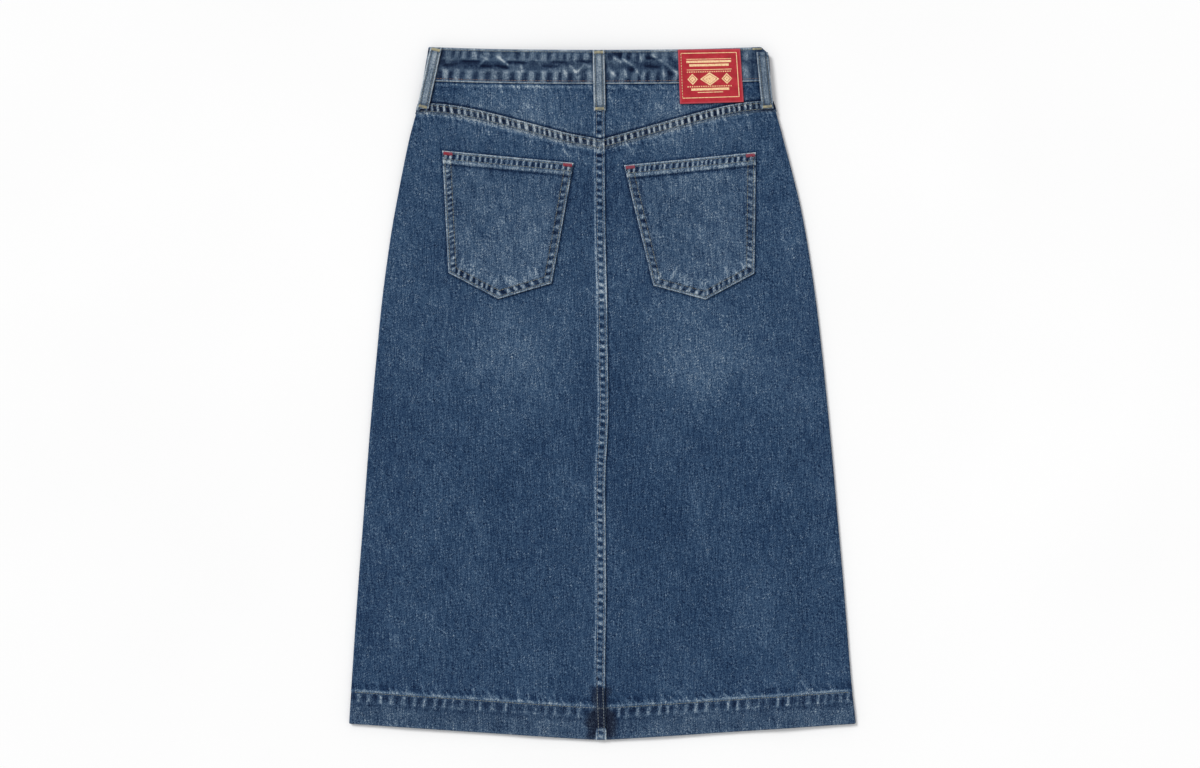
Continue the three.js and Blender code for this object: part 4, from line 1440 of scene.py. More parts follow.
class Ground:
    """The outer faces of some pieces, on which stitches are laid."""

    def __init__(self, objects, facing):
        points, faces = [], []
        for made in objects:
            start = len(points)
            points += [vertex.co[:] for vertex in made.data.vertices]
            faces += [[start + i for i in polygon.vertices] for polygon in made.data.polygons]
        self.tree = BVHTree.FromPolygons(points, faces)
        self.facing = facing

    def drop(self, x, y):
        """Height and normal of the outer face at a plan point."""
        origin = Vector((x * MM, y * MM, self.facing * RAY_REACH * MM))
        spot, normal, _, _ = self.tree.ray_cast(origin, Vector((0, 0, -self.facing)))
        if spot is None:
            return None
        if normal.z * self.facing < 0:
            normal = -normal
        return np.array(spot) / MM, np.array(normal)


def resample(path, pitch, closed=False):
    """Places and directions at an even pitch along a plan path."""
    path = np.asarray(path, float)
    if closed:
        path = np.vstack([path, path[:1]])
    lengths = np.concatenate([[0], np.cumsum(np.hypot(*np.diff(path, axis=0).T))])
    count = max(1, int(lengths[-1] / pitch))
    at = (np.arange(count) + 0.5) * lengths[-1] / count
    spots = np.stack([np.interp(at, lengths, path[:, k]) for k in (0, 1)], -1)
    ahead = np.stack([np.interp(at + 0.2, lengths, path[:, k]) for k in (0, 1)], -1)
    back = np.stack([np.interp(at - 0.2, lengths, path[:, k]) for k in (0, 1)], -1)
    tangents = ahead - back
    return spots, tangents / np.linalg.norm(tangents, axis=1)[:, None]


class Stitches:
    """Collects single stitches and makes one mesh of them."""

    def __init__(self):
        self.ends = []

    def lay(self, ground, spot, tangent, length=STITCH_LENGTH, radius=STITCH_RADIUS, lift=0.0):
        a, b = spot - tangent * length / 2, spot + tangent * length / 2
        hits = [ground.drop(*a), ground.drop(*b)]
        if None in hits:
            return
        normal = hits[0][1] + hits[1][1]
        normal = normal / np.linalg.norm(normal)
        self.ends.append((*hits[0][0], *hits[1][0], *normal, radius, lift))

    def row(self, ground, path, pitch=STITCH_PITCH, length=STITCH_LENGTH, radius=STITCH_RADIUS, keep=None):
        for spot, tangent in zip(*resample(path, pitch)):
            if keep is None or keep(spot):
                self.lay(ground, spot, tangent, length, radius)

    def bartack(self, ground, spot, tangent, run, width, radius=0.38):
        """Close zigzag stitches across a short run."""
        count = int(run / (1.5 * radius))
        aside = np.array([-tangent[1], tangent[0]])
        for i in range(count):
            place = spot + tangent * (run * ((i + 0.5) / count - 0.5))
            slant = aside + tangent * (0.12 if i % 2 else -0.12)
            self.lay(ground, place, slant / np.linalg.norm(slant), width, radius, 0.25)

    def build(self, name, material):
        ends = np.array(self.ends)
        a, b, normal = ends[:, 0:3], ends[:, 3:6], ends[:, 6:9]
        radius, lift = ends[:, 9:10], ends[:, 10:11]
        along = b - a
        length = np.linalg.norm(along, axis=1)[:, None]
        along = along / length
        aside = np.cross(normal, along)
        aside = aside / np.linalg.norm(aside, axis=1)[:, None]
        up = np.cross(along, aside)
        middle = (a + b) / 2
        turns = np.arange(STITCH_SIDES) * 2 * math.pi / STITCH_SIDES
        points = []
        for place, size, height in STITCH_RINGS:
            centre = middle + along * length * place + up * (radius * height + lift)
            for turn in turns:
                points.append(centre + radius * size * (aside * math.cos(turn) + up * math.sin(turn)))
        points = np.stack(points, 1)
        count, each = points.shape[:2]
        rings = len(STITCH_RINGS)
        pattern = []
        for ring in range(rings - 1):
            for k in range(STITCH_SIDES):
                p, q = ring * STITCH_SIDES + k, ring * STITCH_SIDES + (k + 1) % STITCH_SIDES
                pattern.append((p, q, q + STITCH_SIDES, p + STITCH_SIDES))
        last = (rings - 1) * STITCH_SIDES
        caps = [tuple(range(STITCH_SIDES))[::-1], tuple(range(last, last + STITCH_SIDES))]
        faces = []
        for n in range(count):
            start = n * each
            faces += [tuple(start + i for i in face) for face in pattern + caps]
        return make_object(name, points.reshape(-1, 3), faces, None, None, [material], 80)


# Materials
def linear(colour):
    """An sRGB colour from 0 to 255 in linear light."""
    values = [c / 255 for c in colour]
    return (*[v / 12.92 if v <= 0.04045 else ((v + 0.055) / 1.055) ** 2.4 for v in values], 1)


class Recipe:
    """A node material under construction."""

    def __init__(self, name):
        self.material = bpy.data.materials.new(name)
        self.material.use_nodes = True
        self.tree = self.material.node_tree
        self.shader = self.tree.nodes["Principled BSDF"]

    def add(self, kind, inputs=None, output=0, **settings):
        """A new node, with its sockets set or linked, and one of its outputs."""
        node = self.tree.nodes.new(kind)
        for key, value in settings.items():
            setattr(node, key, value)
        for key, value in (inputs or {}).items():
            self.feed(node, key, value)
        return node.outputs[output]

    def feed(self, node, key, value):
        if isinstance(value, bpy.types.NodeSocket):
            self.tree.links.new(value, node.inputs[key])
        else:
            node.inputs[key].default_value = value

    def math(self, operation, *values):
        return self.add("ShaderNodeMath", dict(enumerate(values)), operation=operation)

    def attribute(self, name):
        return self.add("ShaderNodeAttribute", output="Fac", attribute_name=name)

    def cloth_mm(self):
        place = self.add("ShaderNodeUVMap", uv_map="cloth")
        return self.add("ShaderNodeVectorMath", {0: place, "Scale": 1 / MM}, operation="SCALE")

    def noise(self, place, stretch, detail=2, angle=0.0):
        """Noise with cells of the given width and height in millimetres."""
        turned = self.add("ShaderNodeMapping", {"Vector": place, "Rotation": (0, 0, math.radians(angle))})
        inputs = {0: turned, 1: (1 / stretch[0], 1 / stretch[1], 1)}
        cells = self.add("ShaderNodeVectorMath", inputs, operation="MULTIPLY")
        inputs = {"Vector": cells, "Scale": 1, "Detail": detail, "Roughness": 0.6}
        return self.add("ShaderNodeTexNoise", inputs)

    def patches(self, scale, detail):
        """Noise through the whole object, with the given number of cells in a metre."""
        place = self.add("ShaderNodeTexCoord", output="Object")
        return self.add("ShaderNodeTexNoise", {"Vector": place, "Scale": scale, "Detail": detail})

    def ramp(self, factor, stops):
        socket = self.add("ShaderNodeValToRGB", {"Fac": factor})
        elements = socket.node.color_ramp.elements
        while len(elements) > 1:
            elements.remove(elements[-1])
        for i, (place, colour) in enumerate(stops):
            element = elements[0] if i == 0 else elements.new(place)
            element.position = place
            element.color = linear(colour)
        return socket

    def mix(self, factor, a, b):
        inputs = {0: factor, 6: a, 7: b}
        return self.add("ShaderNodeMix", inputs, output=2, data_type="RGBA")

    def bump(self, height, distance, strength):
        inputs = {"Height": height, "Distance": distance * MM, "Strength": strength}
        return self.add("ShaderNodeBump", inputs)

    def finish(self, **sockets):
        names = {key: key.replace("_", " ").capitalize() for key in sockets}
        names.update(base_color="Base Color", ior="IOR", specular="Specular IOR Level")
        names.update(sheen="Sheen Weight", sheen_roughness="Sheen Roughness", coat="Coat Weight")
        for key, value in sockets.items():
            self.feed(self.shader, names[key], value)
        return self.material


STUDIO_LIGHT = 1.02  # how much light a level face gets here
SURFACE_GLOSS = 0.006  # what its gloss and nap add


def seen(colour):
    """The base colour, from 0 to 255, of a face that should look like this in the studio's light."""
    bright = [max(0.0005, (value - SURFACE_GLOSS) / STUDIO_LIGHT) for value in linear(colour)[:3]]
    return [255 * (12.92 * v if v <= 0.0031308 else 1.055 * v ** (1 / 2.4) - 0.055) for v in bright]


BLUE_WASH = [
    (0, (20, 31, 54)),
    (0.25, (33, 53, 82)),
    (0.4, (49, 72, 100)),
    (0.55, (66, 90, 117)),
    (0.7, (92, 114, 139)),
    (0.85, (129, 147, 163)),
    (1, (172, 185, 195)),
]
GREY_WASH = [
    (0, (22, 27, 42)),
    (0.25, (42, 50, 66)),
    (0.4, (60, 71, 86)),
    (0.55, (84, 97, 111)),
    (0.7, (111, 124, 136)),
    (0.85, (148, 158, 166)),
    (1, (190, 197, 202)),
]
TWILL = (2.4, 2.9, 0)  # direction and closeness of its ribs
STREAK_SHARE = 1.75
YARN_SHARE = 0.8
SLUB_SHARE = 0.5
MOTTLE_SHARE = 0.4
CALM = 0.35  # how much grain is left in the calm places
LIVELY = 1.3  # how much more there is in the lively ones


def denim_material(name, share=1.0):
    recipe = Recipe(name)
    place = recipe.cloth_mm()
    streak = recipe.noise(place, (0.8, 2.4), 2, 34)
    yarn = recipe.noise(place, (0.6, 1), 1, -30)
    slub = recipe.noise(place, (1.3, 24), 1)
    mottle = recipe.noise(place, (3.6, 8), 2, 12)
    lively = recipe.noise(place, (9, 12), 1, 40)
    life = recipe.math("ADD", recipe.math("MULTIPLY", lively, LIVELY), CALM)
    inputs = {0: place, 1: TWILL}
    diagonal = recipe.add("ShaderNodeVectorMath", inputs, output="Value", operation="DOT_PRODUCT")
    weave = recipe.math("SINE", recipe.math("MULTIPLY", diagonal, 2.0))
    tone = recipe.attribute("tone")
    fields = (
        (streak, STREAK_SHARE, life),
        (yarn, YARN_SHARE, life),
        (slub, SLUB_SHARE, 1.0),
        (mottle, MOTTLE_SHARE, 1.0),
    )
    for field, weight, much in fields:
        centred = recipe.math("MULTIPLY", recipe.math("SUBTRACT", field, 0.5), weight * share)
        tone = recipe.math("ADD", tone, recipe.math("MULTIPLY", centred, much))
    colour = recipe.mix(
        recipe.attribute("grey"),
        recipe.ramp(tone, [(place, seen(shade)) for place, shade in BLUE_WASH]),
        recipe.ramp(tone, [(place, seen(shade)) for place, shade in GREY_WASH]),
    )
    height = recipe.math("ADD", recipe.math("MULTIPLY", weave, 0.12), recipe.math("ADD", streak, yarn))
    return recipe.finish(
        base_color=colour,
        roughness=0.92,
        specular=0.1,
        sheen=0.05,
        sheen_roughness=0.5,
        normal=recipe.bump(height, 0.22, 0.7),
    )


def thread_material(name, colour, worn):
    recipe = Recipe(name)
    fibre = recipe.bump(recipe.patches(4200, 1), 0.08, 0.5)
    colour = recipe.ramp(recipe.patches(220, 2), [(0.35, colour), (0.65, worn)])
    return recipe.finish(base_color=colour, roughness=0.7, sheen=0.2, normal=fibre)


def leather_material(name):
    recipe = Recipe(name)
    place = recipe.cloth_mm()
    cloud = recipe.noise(place, (9, 9), 3)
    grain = recipe.noise(place, (0.9, 0.9), 3)
    mixed = recipe.math("ADD", recipe.math("MULTIPLY", cloud, 0.6), recipe.math("MULTIPLY", grain, 0.4))
    face = recipe.ramp(mixed, [(0.35, (150, 19, 33)), (0.5, (175, 25, 42)), (0.66, (190, 46, 60))])
    colour = recipe.mix(recipe.math("MULTIPLY", recipe.attribute("tone"), 0.5), face, linear((190, 84, 96)))
    pores = recipe.bump(grain, 0.15, 0.4)
    return recipe.finish(base_color=colour, roughness=0.55, specular=0.35, normal=pores)


def ink_material(name, colour, worn):
    recipe = Recipe(name)
    colour = recipe.ramp(recipe.patches(900, 3), [(0.38, worn), (0.5, colour)])
    return recipe.finish(base_color=colour, roughness=0.6)


def metal_material(name, colour, dull):
    recipe = Recipe(name)
    patchy = recipe.patches(260, 4)
    rough = recipe.add("ShaderNodeMapRange", {"Value": patchy, "To Min": 0.28, "To Max": 0.5})
    colour = recipe.ramp(patchy, [(0.3, dull), (0.7, colour)])
    return recipe.finish(base_color=colour, metallic=1, roughness=rough)


def floor_material(name):
    recipe = Recipe(name)
    colour = recipe.ramp(recipe.patches(3, 2), [(0.3, (251, 251, 251)), (0.7, (253, 253, 253))])
    return recipe.finish(base_color=colour, roughness=0.9, specular=0.1)


# Small solid parts
def ribbon(place, path, width, thick, closed=False):
    """Points and faces of a thin strip along a path, where place gives points at (x, y, out)."""
    path = np.asarray(path, float)
    if closed:
        ahead = np.roll(path, -1, 0) - path
        back = path - np.roll(path, 1, 0)
    else:
        step = np.diff(path, axis=0)
        ahead, back = np.vstack([step, step[-1:]]), np.vstack([step[:1], step])
    ahead = ahead / np.linalg.norm(ahead, axis=1)[:, None]
    back = back / np.linalg.norm(back, axis=1)[:, None]
    tangent = ahead + back
    tangent = tangent / np.linalg.norm(tangent, axis=1)[:, None]
    aside = np.stack([-tangent[:, 1], tangent[:, 0]], -1)
    mitre = np.clip(1 / np.abs((aside * np.stack([-ahead[:, 1], ahead[:, 0]], -1)).sum(1)), 1, 1.5)[:, None]
    low, high = path - aside * mitre * width / 2, path + aside * mitre * width / 2
    corners = [place(low, -thick), place(high, -thick), place(high, thick), place(low, thick)]
    points = np.stack(corners, 1).reshape(-1, 3)
    count = len(path)
    faces = []
    for i in range(count if closed else count - 1):
        a, b = 4 * i, 4 * ((i + 1) % count)
        faces += [(a + k, a + (k + 1) % 4, b + (k + 1) % 4, b + k) for k in range(4)]
    if not closed:
        end = 4 * (count - 1)
        faces += [(3, 2, 1, 0), (end, end + 1, end + 2, end + 3)]
    return points, faces


class Gathered:
    """Joins many small meshes into one."""

    def __init__(self):
        self.points, self.faces = [], []

    def take(self, points, faces):
        start = sum(len(p) for p in self.points)
        self.points.append(points)
        self.faces += [tuple(start + i for i in face) for face in faces]

    def build(self, name, material, smooth_angle=35):
        points = np.concatenate(self.points)
        return make_object(name, points, self.faces, None, None, [material], smooth_angle)


def straight(a, b, step=2.0):
    count = max(2, int(math.hypot(b[0] - a[0], b[1] - a[1]) / step) + 1)
    return np.stack([np.linspace(a[k], b[k], count) for k in (0, 1)], -1)


INK = 0.1
FRAME_INSET = (3.2, 4.7, 4.3, 6.3)  # left, right, top, bottom

# The plain rules printed on the patch: left, right, height, line width
PATCH_RULES = [
    (9, 59, 49.4, 0.7),
    (9, 59, 46.6, 2.4),
    (12, 56, 42.6, 2.6),
    (9, 59, 37.6, 0.7),
    (13, 55, 15.6, 2.6),
    (20, 48, 12.2, 0.8),
]
PATCH_ROWS = [(9, 59, 35.2), (9, 59, 18.8)]  # rows of dots: left, right, height
DOT_PITCH = 2.5
DOT_WIDTH = 1.3

# The lozenges printed between them: x, y, half width, half height, line width
PATCH_LOZENGES = [
    (15, 27, 5, 5.4, 1.2),
    (15, 27, 2, 2.2, 2),
    (34, 27, 9.5, 6.6, 1.4),
    (34, 27, 6, 4.2, 1.8),
    (34, 27, 2.6, 1.8, 2),
    (53, 27, 5, 5.4, 1.2),
    (53, 27, 2, 2.2, 2),
]


def patch_print(material):
    def place(path, out):
        u, v = path[:, 0] / PATCH_WIDTH, path[:, 1] / PATCH_HEIGHT
        plan = patch_plan(u, v)
        return BACK.points(plan[:, 0], plan[:, 1], PATCH_SEAT + patch_top(u, v) + out)

    made = Gathered()
    left, right, top, bottom = FRAME_INSET
    x0, x1, y0, y1 = left, PATCH_WIDTH - right, bottom, PATCH_HEIGHT - top
    for a, b in (((x0, y1), (x1, y1)), ((x1, y1), (x1, y0)), ((x1, y0), (x0, y0))):
        made.take(*ribbon(place, straight(a, b), 0.8, INK))
    for start, end, height, width in PATCH_RULES:
        made.take(*ribbon(place, straight((start, height), (end, height)), width, INK))
    for x, y, half_x, half_y, width in PATCH_LOZENGES:
        corners = [(x - half_x, y), (x, y + half_y), (x + half_x, y), (x, y - half_y)]
        path = np.concatenate([straight(a, b)[:-1] for a, b in zip(corners, corners[1:] + corners[:1])])
        made.take(*ribbon(place, path, width, INK, closed=True))
    for start, end, height in PATCH_ROWS:
        for x in np.arange(start + DOT_WIDTH / 2, end, DOT_PITCH):
            ends = (x - DOT_WIDTH / 2, height), (x + DOT_WIDTH / 2, height)
            made.take(*ribbon(place, straight(*ends), DOT_WIDTH, INK))
    return made.build("patch_print", material)


def lathe(profile, sides):
    """Points and faces of a turned solid, from a profile that starts and ends on its axis."""
    turns = np.arange(sides) * 2 * math.pi / sides
    points = [(0, 0, profile[0][1])]
    for radius, height in profile[1:-1]:
        points += [(radius * math.cos(t), radius * math.sin(t), height) for t in turns]
    points.append((0, 0, profile[-1][1]))
    faces = []
    rings = len(profile) - 2
    for k in range(sides):
        q = (k + 1) % sides
        faces.append((0, 1 + q, 1 + k))
        for ring in range(rings - 1):
            a, b = 1 + ring * sides, 1 + (ring + 1) * sides
            faces.append((a + k, a + q, b + q, b + k))
        last = 1 + (rings - 1) * sides
        faces.append((last + k, last + q, len(points) - 1))
    return np.array(points), faces


BUTTON_PAST_CENTRE = 2
BUTTON_SIDES = 72
BUTTONHOLE_LENGTH = 20
BUTTONHOLE_WIDTH = 5
CUTTER_ENDS = (-5, 12)  # heights between which its cutter reaches
SHANK = 2


def button_centre():
    y = float(front_waist_line(0.0)) - BAND_HEIGHT / 2
    return float(centre_line(y)) + BUTTON_PAST_CENTRE, y


def button(material):
    x, y = button_centre()
    seat = float(right_front_height(x, y)) - BAND_RISE - SEAM_GAP
    profile = [
        (0, 0.35),
        (1.4, 0.35),
        (1.9, 0.12),
        (5.1, 0.12),
        (5.5, 0.35),
        (5.9, 0.02),
        (6.9, 0.02),
        (7.7, 0.3),
        (8.3, 0.8),
        (8.5, 1.2),
        (8.4, 1.9),
        (8, 2.4),
        (SHANK + 0.3, 2.5),
        (SHANK, 2.9),
        (SHANK, seat - 0.6),
        (SHANK, seat),
        (0, seat),
    ]
    points, faces = lathe(profile, BUTTON_SIDES)
    return make_object("button_brass", points + np.array([x, y, 0]), faces, None, None, [material], 40)


ZIP_LEFT = -24
ZIP_RIGHT = 2
ZIP_BOTTOM = 218
ZIP_TAPE = 0.8
ZIP_FACE = -(CLOTH + SEAM_GAP)
ZIP_CHAIN = (ZIP_LEFT + ZIP_RIGHT) / 2
TOOTH_PITCH = 2.6
TOOTH_RISE = 0.45


def zip_tape(materials):
    top = float(front_band_bottom(0.0)) - SEAM_GAP
    us, vs = np.linspace(0, 1, 20), np.linspace(0, 1, 60)
    u, v = np.meshgrid(us, vs)
    y = lerp(ZIP_BOTTOM, top, v)
    offset = lerp(ZIP_LEFT, ZIP_RIGHT, u)
    x = centre_line(y) + offset
    sheet = plan_cloth(offset, y)
    cord = 0.35 * bell(np.abs(offset - ZIP_CHAIN) - 2.6, 0.8)
    inner = Grid(FRONT_LEFT.points(x, y, ZIP_FACE - ZIP_TAPE - cord), 0.3, 0.5, sheet, us, vs)
    outer = Grid(FRONT_LEFT.points(x, y, np.full(x.shape, ZIP_FACE)), 0.3, 0.5, sheet, us, vs)
    return make_shell("zip_tape", [outer], inner, -1, materials)


SQUARE = ((-1, -1), (1, -1), (1, 1), (-1, 1))


def box_at(centre, half):
    """Points and faces of a box."""
    signs = [(x, y, z) for z in (-1, 1) for x, y in SQUARE]
    points = np.array(centre) + np.array(signs) * np.array(half)
    faces = [(3, 2, 1, 0), (4, 5, 6, 7), (0, 1, 5, 4), (1, 2, 6, 5), (2, 3, 7, 6), (3, 0, 4, 7)]
    return points, faces


def zip_teeth(material):
    made = Gathered()
    top = float(front_band_bottom(0.0)) - SEAM_GAP - 4

    def add_block(y, aside, half):
        x = centre_line(y) + ZIP_CHAIN
        z = float(FRONT_LEFT.points(x, y, ZIP_FACE - ZIP_TAPE - TOOTH_RISE)[..., 2])
        made.take(*box_at((x + aside, y, z), half))

    for i, y in enumerate(np.arange(ZIP_BOTTOM + 6, top, TOOTH_PITCH)):
        side = 1 if i % 2 else -1
        add_block(y, side * 1.1, (1.5, 0.8, 0.42))
        add_block(y, side * -0.2, (0.8, 0.55, 0.42))
    for y in (ZIP_BOTTOM + 4, top + 2):
        add_block(y, 0, (2.9, 1, 0.45))
    return made.build("zip_teeth", material)


def buttonhole_outline(grow=0):
    """Plan points round the buttonhole, moved out by grow."""
    x, y = button_centre()
    reach, radius = (BUTTONHOLE_LENGTH - BUTTONHOLE_WIDTH) / 2, BUTTONHOLE_WIDTH / 2 + grow
    outline = []
    for centre, start in ((reach, -90), (-reach, 90)):
        for degrees in np.linspace(start, start + 180, 13):
            turn = math.radians(degrees)
            outline.append((x + centre + radius * math.cos(turn), y + radius * math.sin(turn)))
    return outline


def cut_buttonhole(band):
    """Cuts the real buttonhole through the left end of the front band."""
    outline = buttonhole_outline()
    count = len(outline)
    points = [(x, y, z) for z in CUTTER_ENDS for x, y in outline]
    faces = [tuple(range(count))[::-1], tuple(range(count, 2 * count))]
    faces += [(i, (i + 1) % count, count + (i + 1) % count, count + i) for i in range(count)]
    cutter = make_object("buttonhole_cutter", points, faces)
    hole = band.modifiers.new("buttonhole", "BOOLEAN")
    hole.operation = "DIFFERENCE"
    hole.object = cutter
    evaluated = band.evaluated_get(bpy.context.evaluated_depsgraph_get())
    mesh = bpy.data.meshes.new_from_object(evaluated)
    band.modifiers.clear()
    band.data = mesh
    bpy.data.objects.remove(cutter)


# Materials in use
DENIM = denim_material("denim_face")
SMOOTH_DENIM = denim_material("denim_smooth", 0.6)
REVERSE = denim_material("denim_reverse", 0.8)
TAN = thread_material("thread_tan", (142, 145, 131), (98, 105, 105))
PALE = thread_material("thread_pale", (148, 156, 160), (108, 120, 130))
BROWN = thread_material("thread_brown", (138, 110, 96), (96, 88, 92))
KHAKI = thread_material("thread_khaki", (178, 170, 136), (132, 132, 118))
RED = thread_material("thread_red", (148, 20, 44), (136, 58, 78))
CREAM = thread_material("thread_cream", (236, 206, 160), (214, 176, 128))
PRINT = ink_material("print_cream", (248, 216, 164), (222, 150, 110))
LEATHER = leather_material("patch_red")
BRASS = metal_material("brass_aged", (196, 150, 92), (120, 88, 56))
TAPE = denim_material("zip_tape_navy", 0.5)
CLOTH_FACES = (DENIM, REVERSE)
STRAP_FACES = (SMOOTH_DENIM, REVERSE)

SIDES = (("left", -1), ("right", 1))
made = {}
for name, side in SIDES:
    made[f"back_{name}"] = back_panel(side, CLOTH_FACES)
    made[f"yoke_{name}"] = yoke(side, CLOTH_FACES)
    made[f"front_{name}"] = front_panel(side, CLOTH_FACES)
    made[f"waistband_front_{name}"] = front_band(side, STRAP_FACES)
    made[f"pocket_{name}"] = pocket(name, side, CLOTH_FACES, 80 + 10 * side)
made["waistband_back"] = back_band(STRAP_FACES)
for seed, (name, ends) in enumerate(BACK_LOOPS.items()):
    made[name] = belt_loop(name, BACK, ends, (BAND_RISE, FELL_RISE), STRAP_FACES, 90 + 3 * seed)
for seed, (name, ends) in enumerate(FRONT_LOOPS.items()):
    made[name] = belt_loop(name, FRONT_LEFT, ends, (BAND_RISE, BAND_RISE), STRAP_FACES, 110 + 3 * seed, 0)
made["patch"] = patch((LEATHER, LEATHER))
made["zip"] = zip_tape((TAPE, TAPE))
made["button"] = button(BRASS)
cut_buttonhole(made["waistband_front_left"])


# Sewing
def side_path(line, shift, y_from, y_to):
    ys = np.linspace(y_from, y_to, 120)
    return np.stack([line(ys) + shift, ys], -1)


def inset_outline(corners, inset, top_inset):
    """A row inside the pocket's edges, down one side, round the tip and up the other side."""
    lines = []
    for (a, _, tangent, normal), depth in zip(pocket_edges(corners), (*[inset] * 4, top_inset)):
        lines.append((a + normal * depth, tangent))
    crossings = []
    for (p, t), (q, w) in zip([lines[-1], *lines[:-1]], lines):
        share = np.linalg.solve(np.stack([t, -w], 1), q - p)[0]
        crossings.append(p + t * share)
    return np.array(crossings)


ROW_END = 0.985  # where the hem's rows end, as a share of the half width
STAIN_REACH = 0.085  # how far the pale thread reaches over the stain, in the same way
BAND_ROW_END = 0.98


def sew_back():
    tan, brown, pale = Stitches(), Stitches(), Stitches()
    panels = Ground([made["back_left"], made["back_right"]], 1)
    yokes = Ground([made["yoke_left"], made["yoke_right"]], 1)
    band = Ground([made["waistband_back"]], 1)
    for ends in ((-ROW_END, -STAIN_REACH), (STAIN_REACH, ROW_END)):
        tan.row(panels, curve_points(hem_line, *ends, HEM_ROW))
    pale.row(panels, curve_points(hem_line, -STAIN_REACH, STAIN_REACH, HEM_ROW))
    for aside in (-ROW_ASIDE, ROW_ASIDE):
        tan.row(panels, curve_points(yoke_seam, -0.98, 0.98, aside))
        pale.row(panels, side_path(centre_line, aside, -385, 273))
        pale.row(yokes, side_path(centre_line, aside, 287, 347))
    brown.row(band, curve_points(band_bottom, -BAND_ROW_END, BAND_ROW_END, BAND_LOW_ROW))
    tan.row(band, curve_points(waist_line, -BAND_ROW_END, BAND_ROW_END, BAND_TOP_ROW))
    for name, _ in SIDES:
        ground = Ground([made[f"pocket_{name}"]], 1)
        corners = POCKETS[name]
        for inset, down in zip(POCKET_ROWS, (1.2, POCKET_HEM_ROWS[1])):
            tan.row(ground, inset_outline(corners, inset, down))
        for down in POCKET_HEM_ROWS:
            outline = inset_outline(corners, POCKET_ROWS[0], down)
            tan.row(ground, outline[[0, -1]])
    threads = (("", tan, TAN), ("_brown", brown, BROWN), ("_pale", pale, PALE))
    return [stitches.build("stitching_back" + end, thread) for end, stitches, thread in threads]


# A bartack that lies on the waistband's edge beside its loop: its place and direction
HIGH_TACKS = {"loop_side_right": ((173.2, 385.6), (1, 0.03))}


def loop_rows(stitches, tacks, names, loops, facing):
    for name in names:
        (tx, ty), (bx, by) = loops[name]
        ground = Ground([made[name]], facing)
        top, bottom = np.array([tx, ty]), np.array([bx, by])
        tangent = (top - bottom) / np.linalg.norm(top - bottom)
        for aside in (-1, 1):
            shift = np.array([aside * (LOOP_WIDTH / 2 - LOOP_ROW), 0])
            stitches.row(ground, np.array([bottom + shift + tangent * 4, top + shift - tangent * 4]), 3, 2.4)
        across = np.array([tangent[1], -tangent[0]])
        tacks.bartack(ground, bottom + tangent * 2.5, across, TACK_RUN, 3.3)
        if name in HIGH_TACKS:
            band = Ground([made["waistband_back"]], facing)
            tacks.bartack(band, *map(np.array, HIGH_TACKS[name]), TACK_RUN, 2.2)
        else:
            tacks.bartack(ground, top - tangent * 2.6, across, TACK_RUN, 3.3)


def sew_loops():
    rows, tacks = Stitches(), Stitches()
    loop_rows(rows, tacks, BACK_LOOPS, BACK_LOOPS, 1)
    loop_rows(rows, tacks, FRONT_LOOPS, FRONT_LOOPS, -1)
    return rows.build("stitching_loops", TAN), tacks.build("bartacks_loops", KHAKI)


def sew_pocket_tacks():
    tacks = Stitches()
    for name, _ in SIDES:
        ground = Ground([made[f"pocket_{name}"]], 1)
        outline = inset_outline(POCKETS[name], 6.2, 2.9)
        ahead = (outline[-1] - outline[0]) / np.linalg.norm(outline[-1] - outline[0])
        for spot in (outline[0], outline[-1]):
            tacks.bartack(ground, spot, ahead, TACK_RUN, 4.2)
    return tacks.build("bartacks_pockets", RED)


def sew_patch():
    stitches = Stitches()
    ground = Ground([made["patch"]], 1)
    left, right, top, bottom = FRAME_INSET
    v = np.array([bottom / PATCH_HEIGHT, 1 - top / PATCH_HEIGHT])
    stitches.row(ground, patch_plan(np.full(2, left / PATCH_WIDTH), v), 3, 2.3, 0.42)
    return stitches.build("stitching_patch", CREAM)


def sew_front():
    tan = Stitches()
    left, right = Ground([made["front_left"]], -1), Ground([made["front_right"]], -1)
    both = Ground([made["front_left"], made["front_right"]], -1)
    tan.row(both, curve_points(hem_line, -ROW_END, ROW_END, HEM_ROW))
    top = 334
    tan.row(left, side_path(centre_line, FLY_EDGE - 2, -385, top))
    tan.row(left, side_path(centre_line, FLY_EDGE - 8, -385, FLY_BOTTOM))
    bend = np.linspace(0, math.pi / 2, 24)
    edge = FLY_EDGE - 2
    for aside in (FLY_WIDTH, FLY_WIDTH - 6):
        x = edge - aside * np.cos(bend)
        y = FLY_BOTTOM + 30 - (30 + aside - FLY_WIDTH) * np.sin(bend)
        path = np.vstack([[edge - aside, top], np.stack([x, y], -1)])
        path[:, 0] += centre_line(path[:, 1])
        tan.row(left, path)
    for name, _ in SIDES:
        band = Ground([made[f"waistband_front_{name}"]], -1)
        ends = (-BAND_ROW_END, 0.08) if name == "left" else (-0.06, BAND_ROW_END)
        tan.row(band, curve_points(front_band_bottom, *ends, BAND_LOW_ROW))
        tan.row(band, curve_points(front_waist_line, *ends, BAND_TOP_ROW))
    return tan.build("stitching_front", TAN)


def sew_buttonhole():
    stitches = Stitches()
    band = Ground([made["waistband_front_left"]], -1)
    for spot, tangent in zip(*resample(buttonhole_outline(1.2), 0.8, closed=True)):
        aside = np.array([-tangent[1], tangent[0]])
        stitches.lay(band, spot, aside, 1.9, 0.32)
    return stitches.build("buttonhole_stitching", TAN)


back_sewing, brown_sewing, pale_sewing = sew_back()
loop_sewing, loop_tacks = sew_loops()
pocket_tacks = sew_pocket_tacks()
patch_sewing = sew_patch()
front_sewing = sew_front()
hole_sewing = sew_buttonhole()
print_lines = patch_print(PRINT)
teeth = zip_teeth(BRASS)

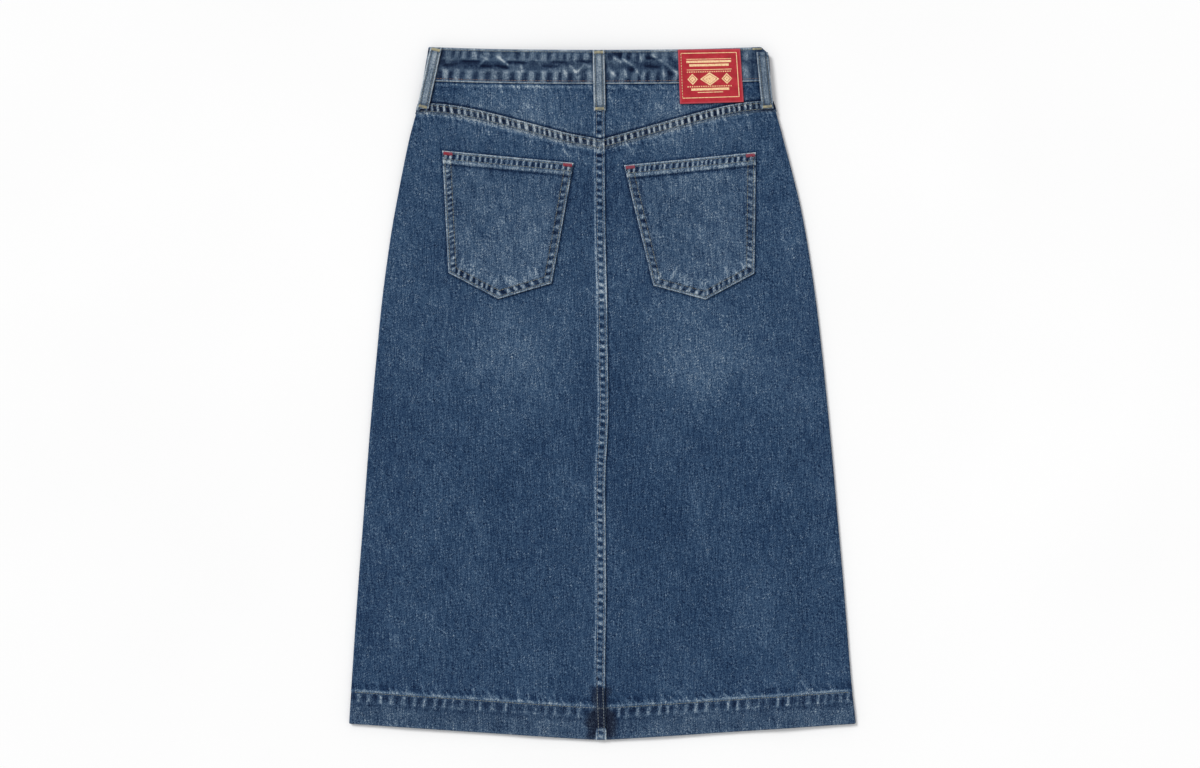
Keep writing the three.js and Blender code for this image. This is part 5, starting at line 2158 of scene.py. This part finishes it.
# Each piece is attached to the root body and its part from model.glb is hidden; the sewn pieces, listed with
# the slot of their finish, are attached too
for node, piece in made.items():
    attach(piece, "root")
    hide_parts(node)
SEWN = (
    (back_sewing, "thread"),
    (brown_sewing, "thread"),
    (pale_sewing, "thread"),
    (loop_sewing, "thread"),
    (loop_tacks, "thread"),
    (pocket_tacks, "thread_red"),
    (patch_sewing, "thread_cream"),
    (front_sewing, "thread"),
    (hole_sewing, "thread"),
    (print_lines, "thread_cream"),
    (teeth, "brass"),
)
for piece, slot in SEWN:
    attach(piece, "root")

# Studio
FLOOR_SIDE = 30000
FLOOR_DROP = 0.4
corners = [(sx * FLOOR_SIDE / 2, sy * FLOOR_SIDE / 2, -FLOOR_DROP) for sx, sy in SQUARE]
floor = make_object("floor", corners, [(0, 1, 2, 3)], materials=[floor_material("floor_pale")])

WORLD_LIGHT = 0.6
world = bpy.data.worlds.new("studio")
world.use_nodes = True
world.node_tree.nodes["Background"].inputs["Color"].default_value = (1, 1, 1, 1)
world.node_tree.nodes["Background"].inputs["Strength"].default_value = WORLD_LIGHT
bpy.context.scene.world = world

KEY_STRENGTH = 1.8
KEY_ANGLE = 20
KEY_TILT = 44  # from straight above
KEY_FROM = 135  # towards the upper left, in plan
sun = bpy.data.lights.new("key", "SUN")
sun.energy = KEY_STRENGTH
sun.angle = math.radians(KEY_ANGLE)
key = bpy.data.objects.new("key", sun)
towards = Vector((
    math.sin(math.radians(KEY_TILT)) * math.cos(math.radians(KEY_FROM)),
    math.sin(math.radians(KEY_TILT)) * math.sin(math.radians(KEY_FROM)),
    math.cos(math.radians(KEY_TILT)),
))
key.rotation_euler = towards.to_track_quat("Z", "Y").to_euler()
bpy.context.scene.collection.objects.link(key)

CAMERA_HEIGHT = 3.178
CAMERA_PLACE = (-0.0028, 0.0106)
lens = bpy.data.cameras.new("camera")
lens.lens = 85
lens.sensor_width = 36
lens.clip_end = 100
camera = bpy.data.objects.new("camera", lens)
camera.location = (*CAMERA_PLACE, CAMERA_HEIGHT)
bpy.context.scene.collection.objects.link(camera)
bpy.context.scene.camera = camera
bpy.context.scene.view_settings.view_transform = "Standard"
bpy.context.scene.view_settings.look = "None"

bpy.context.view_layer.update()
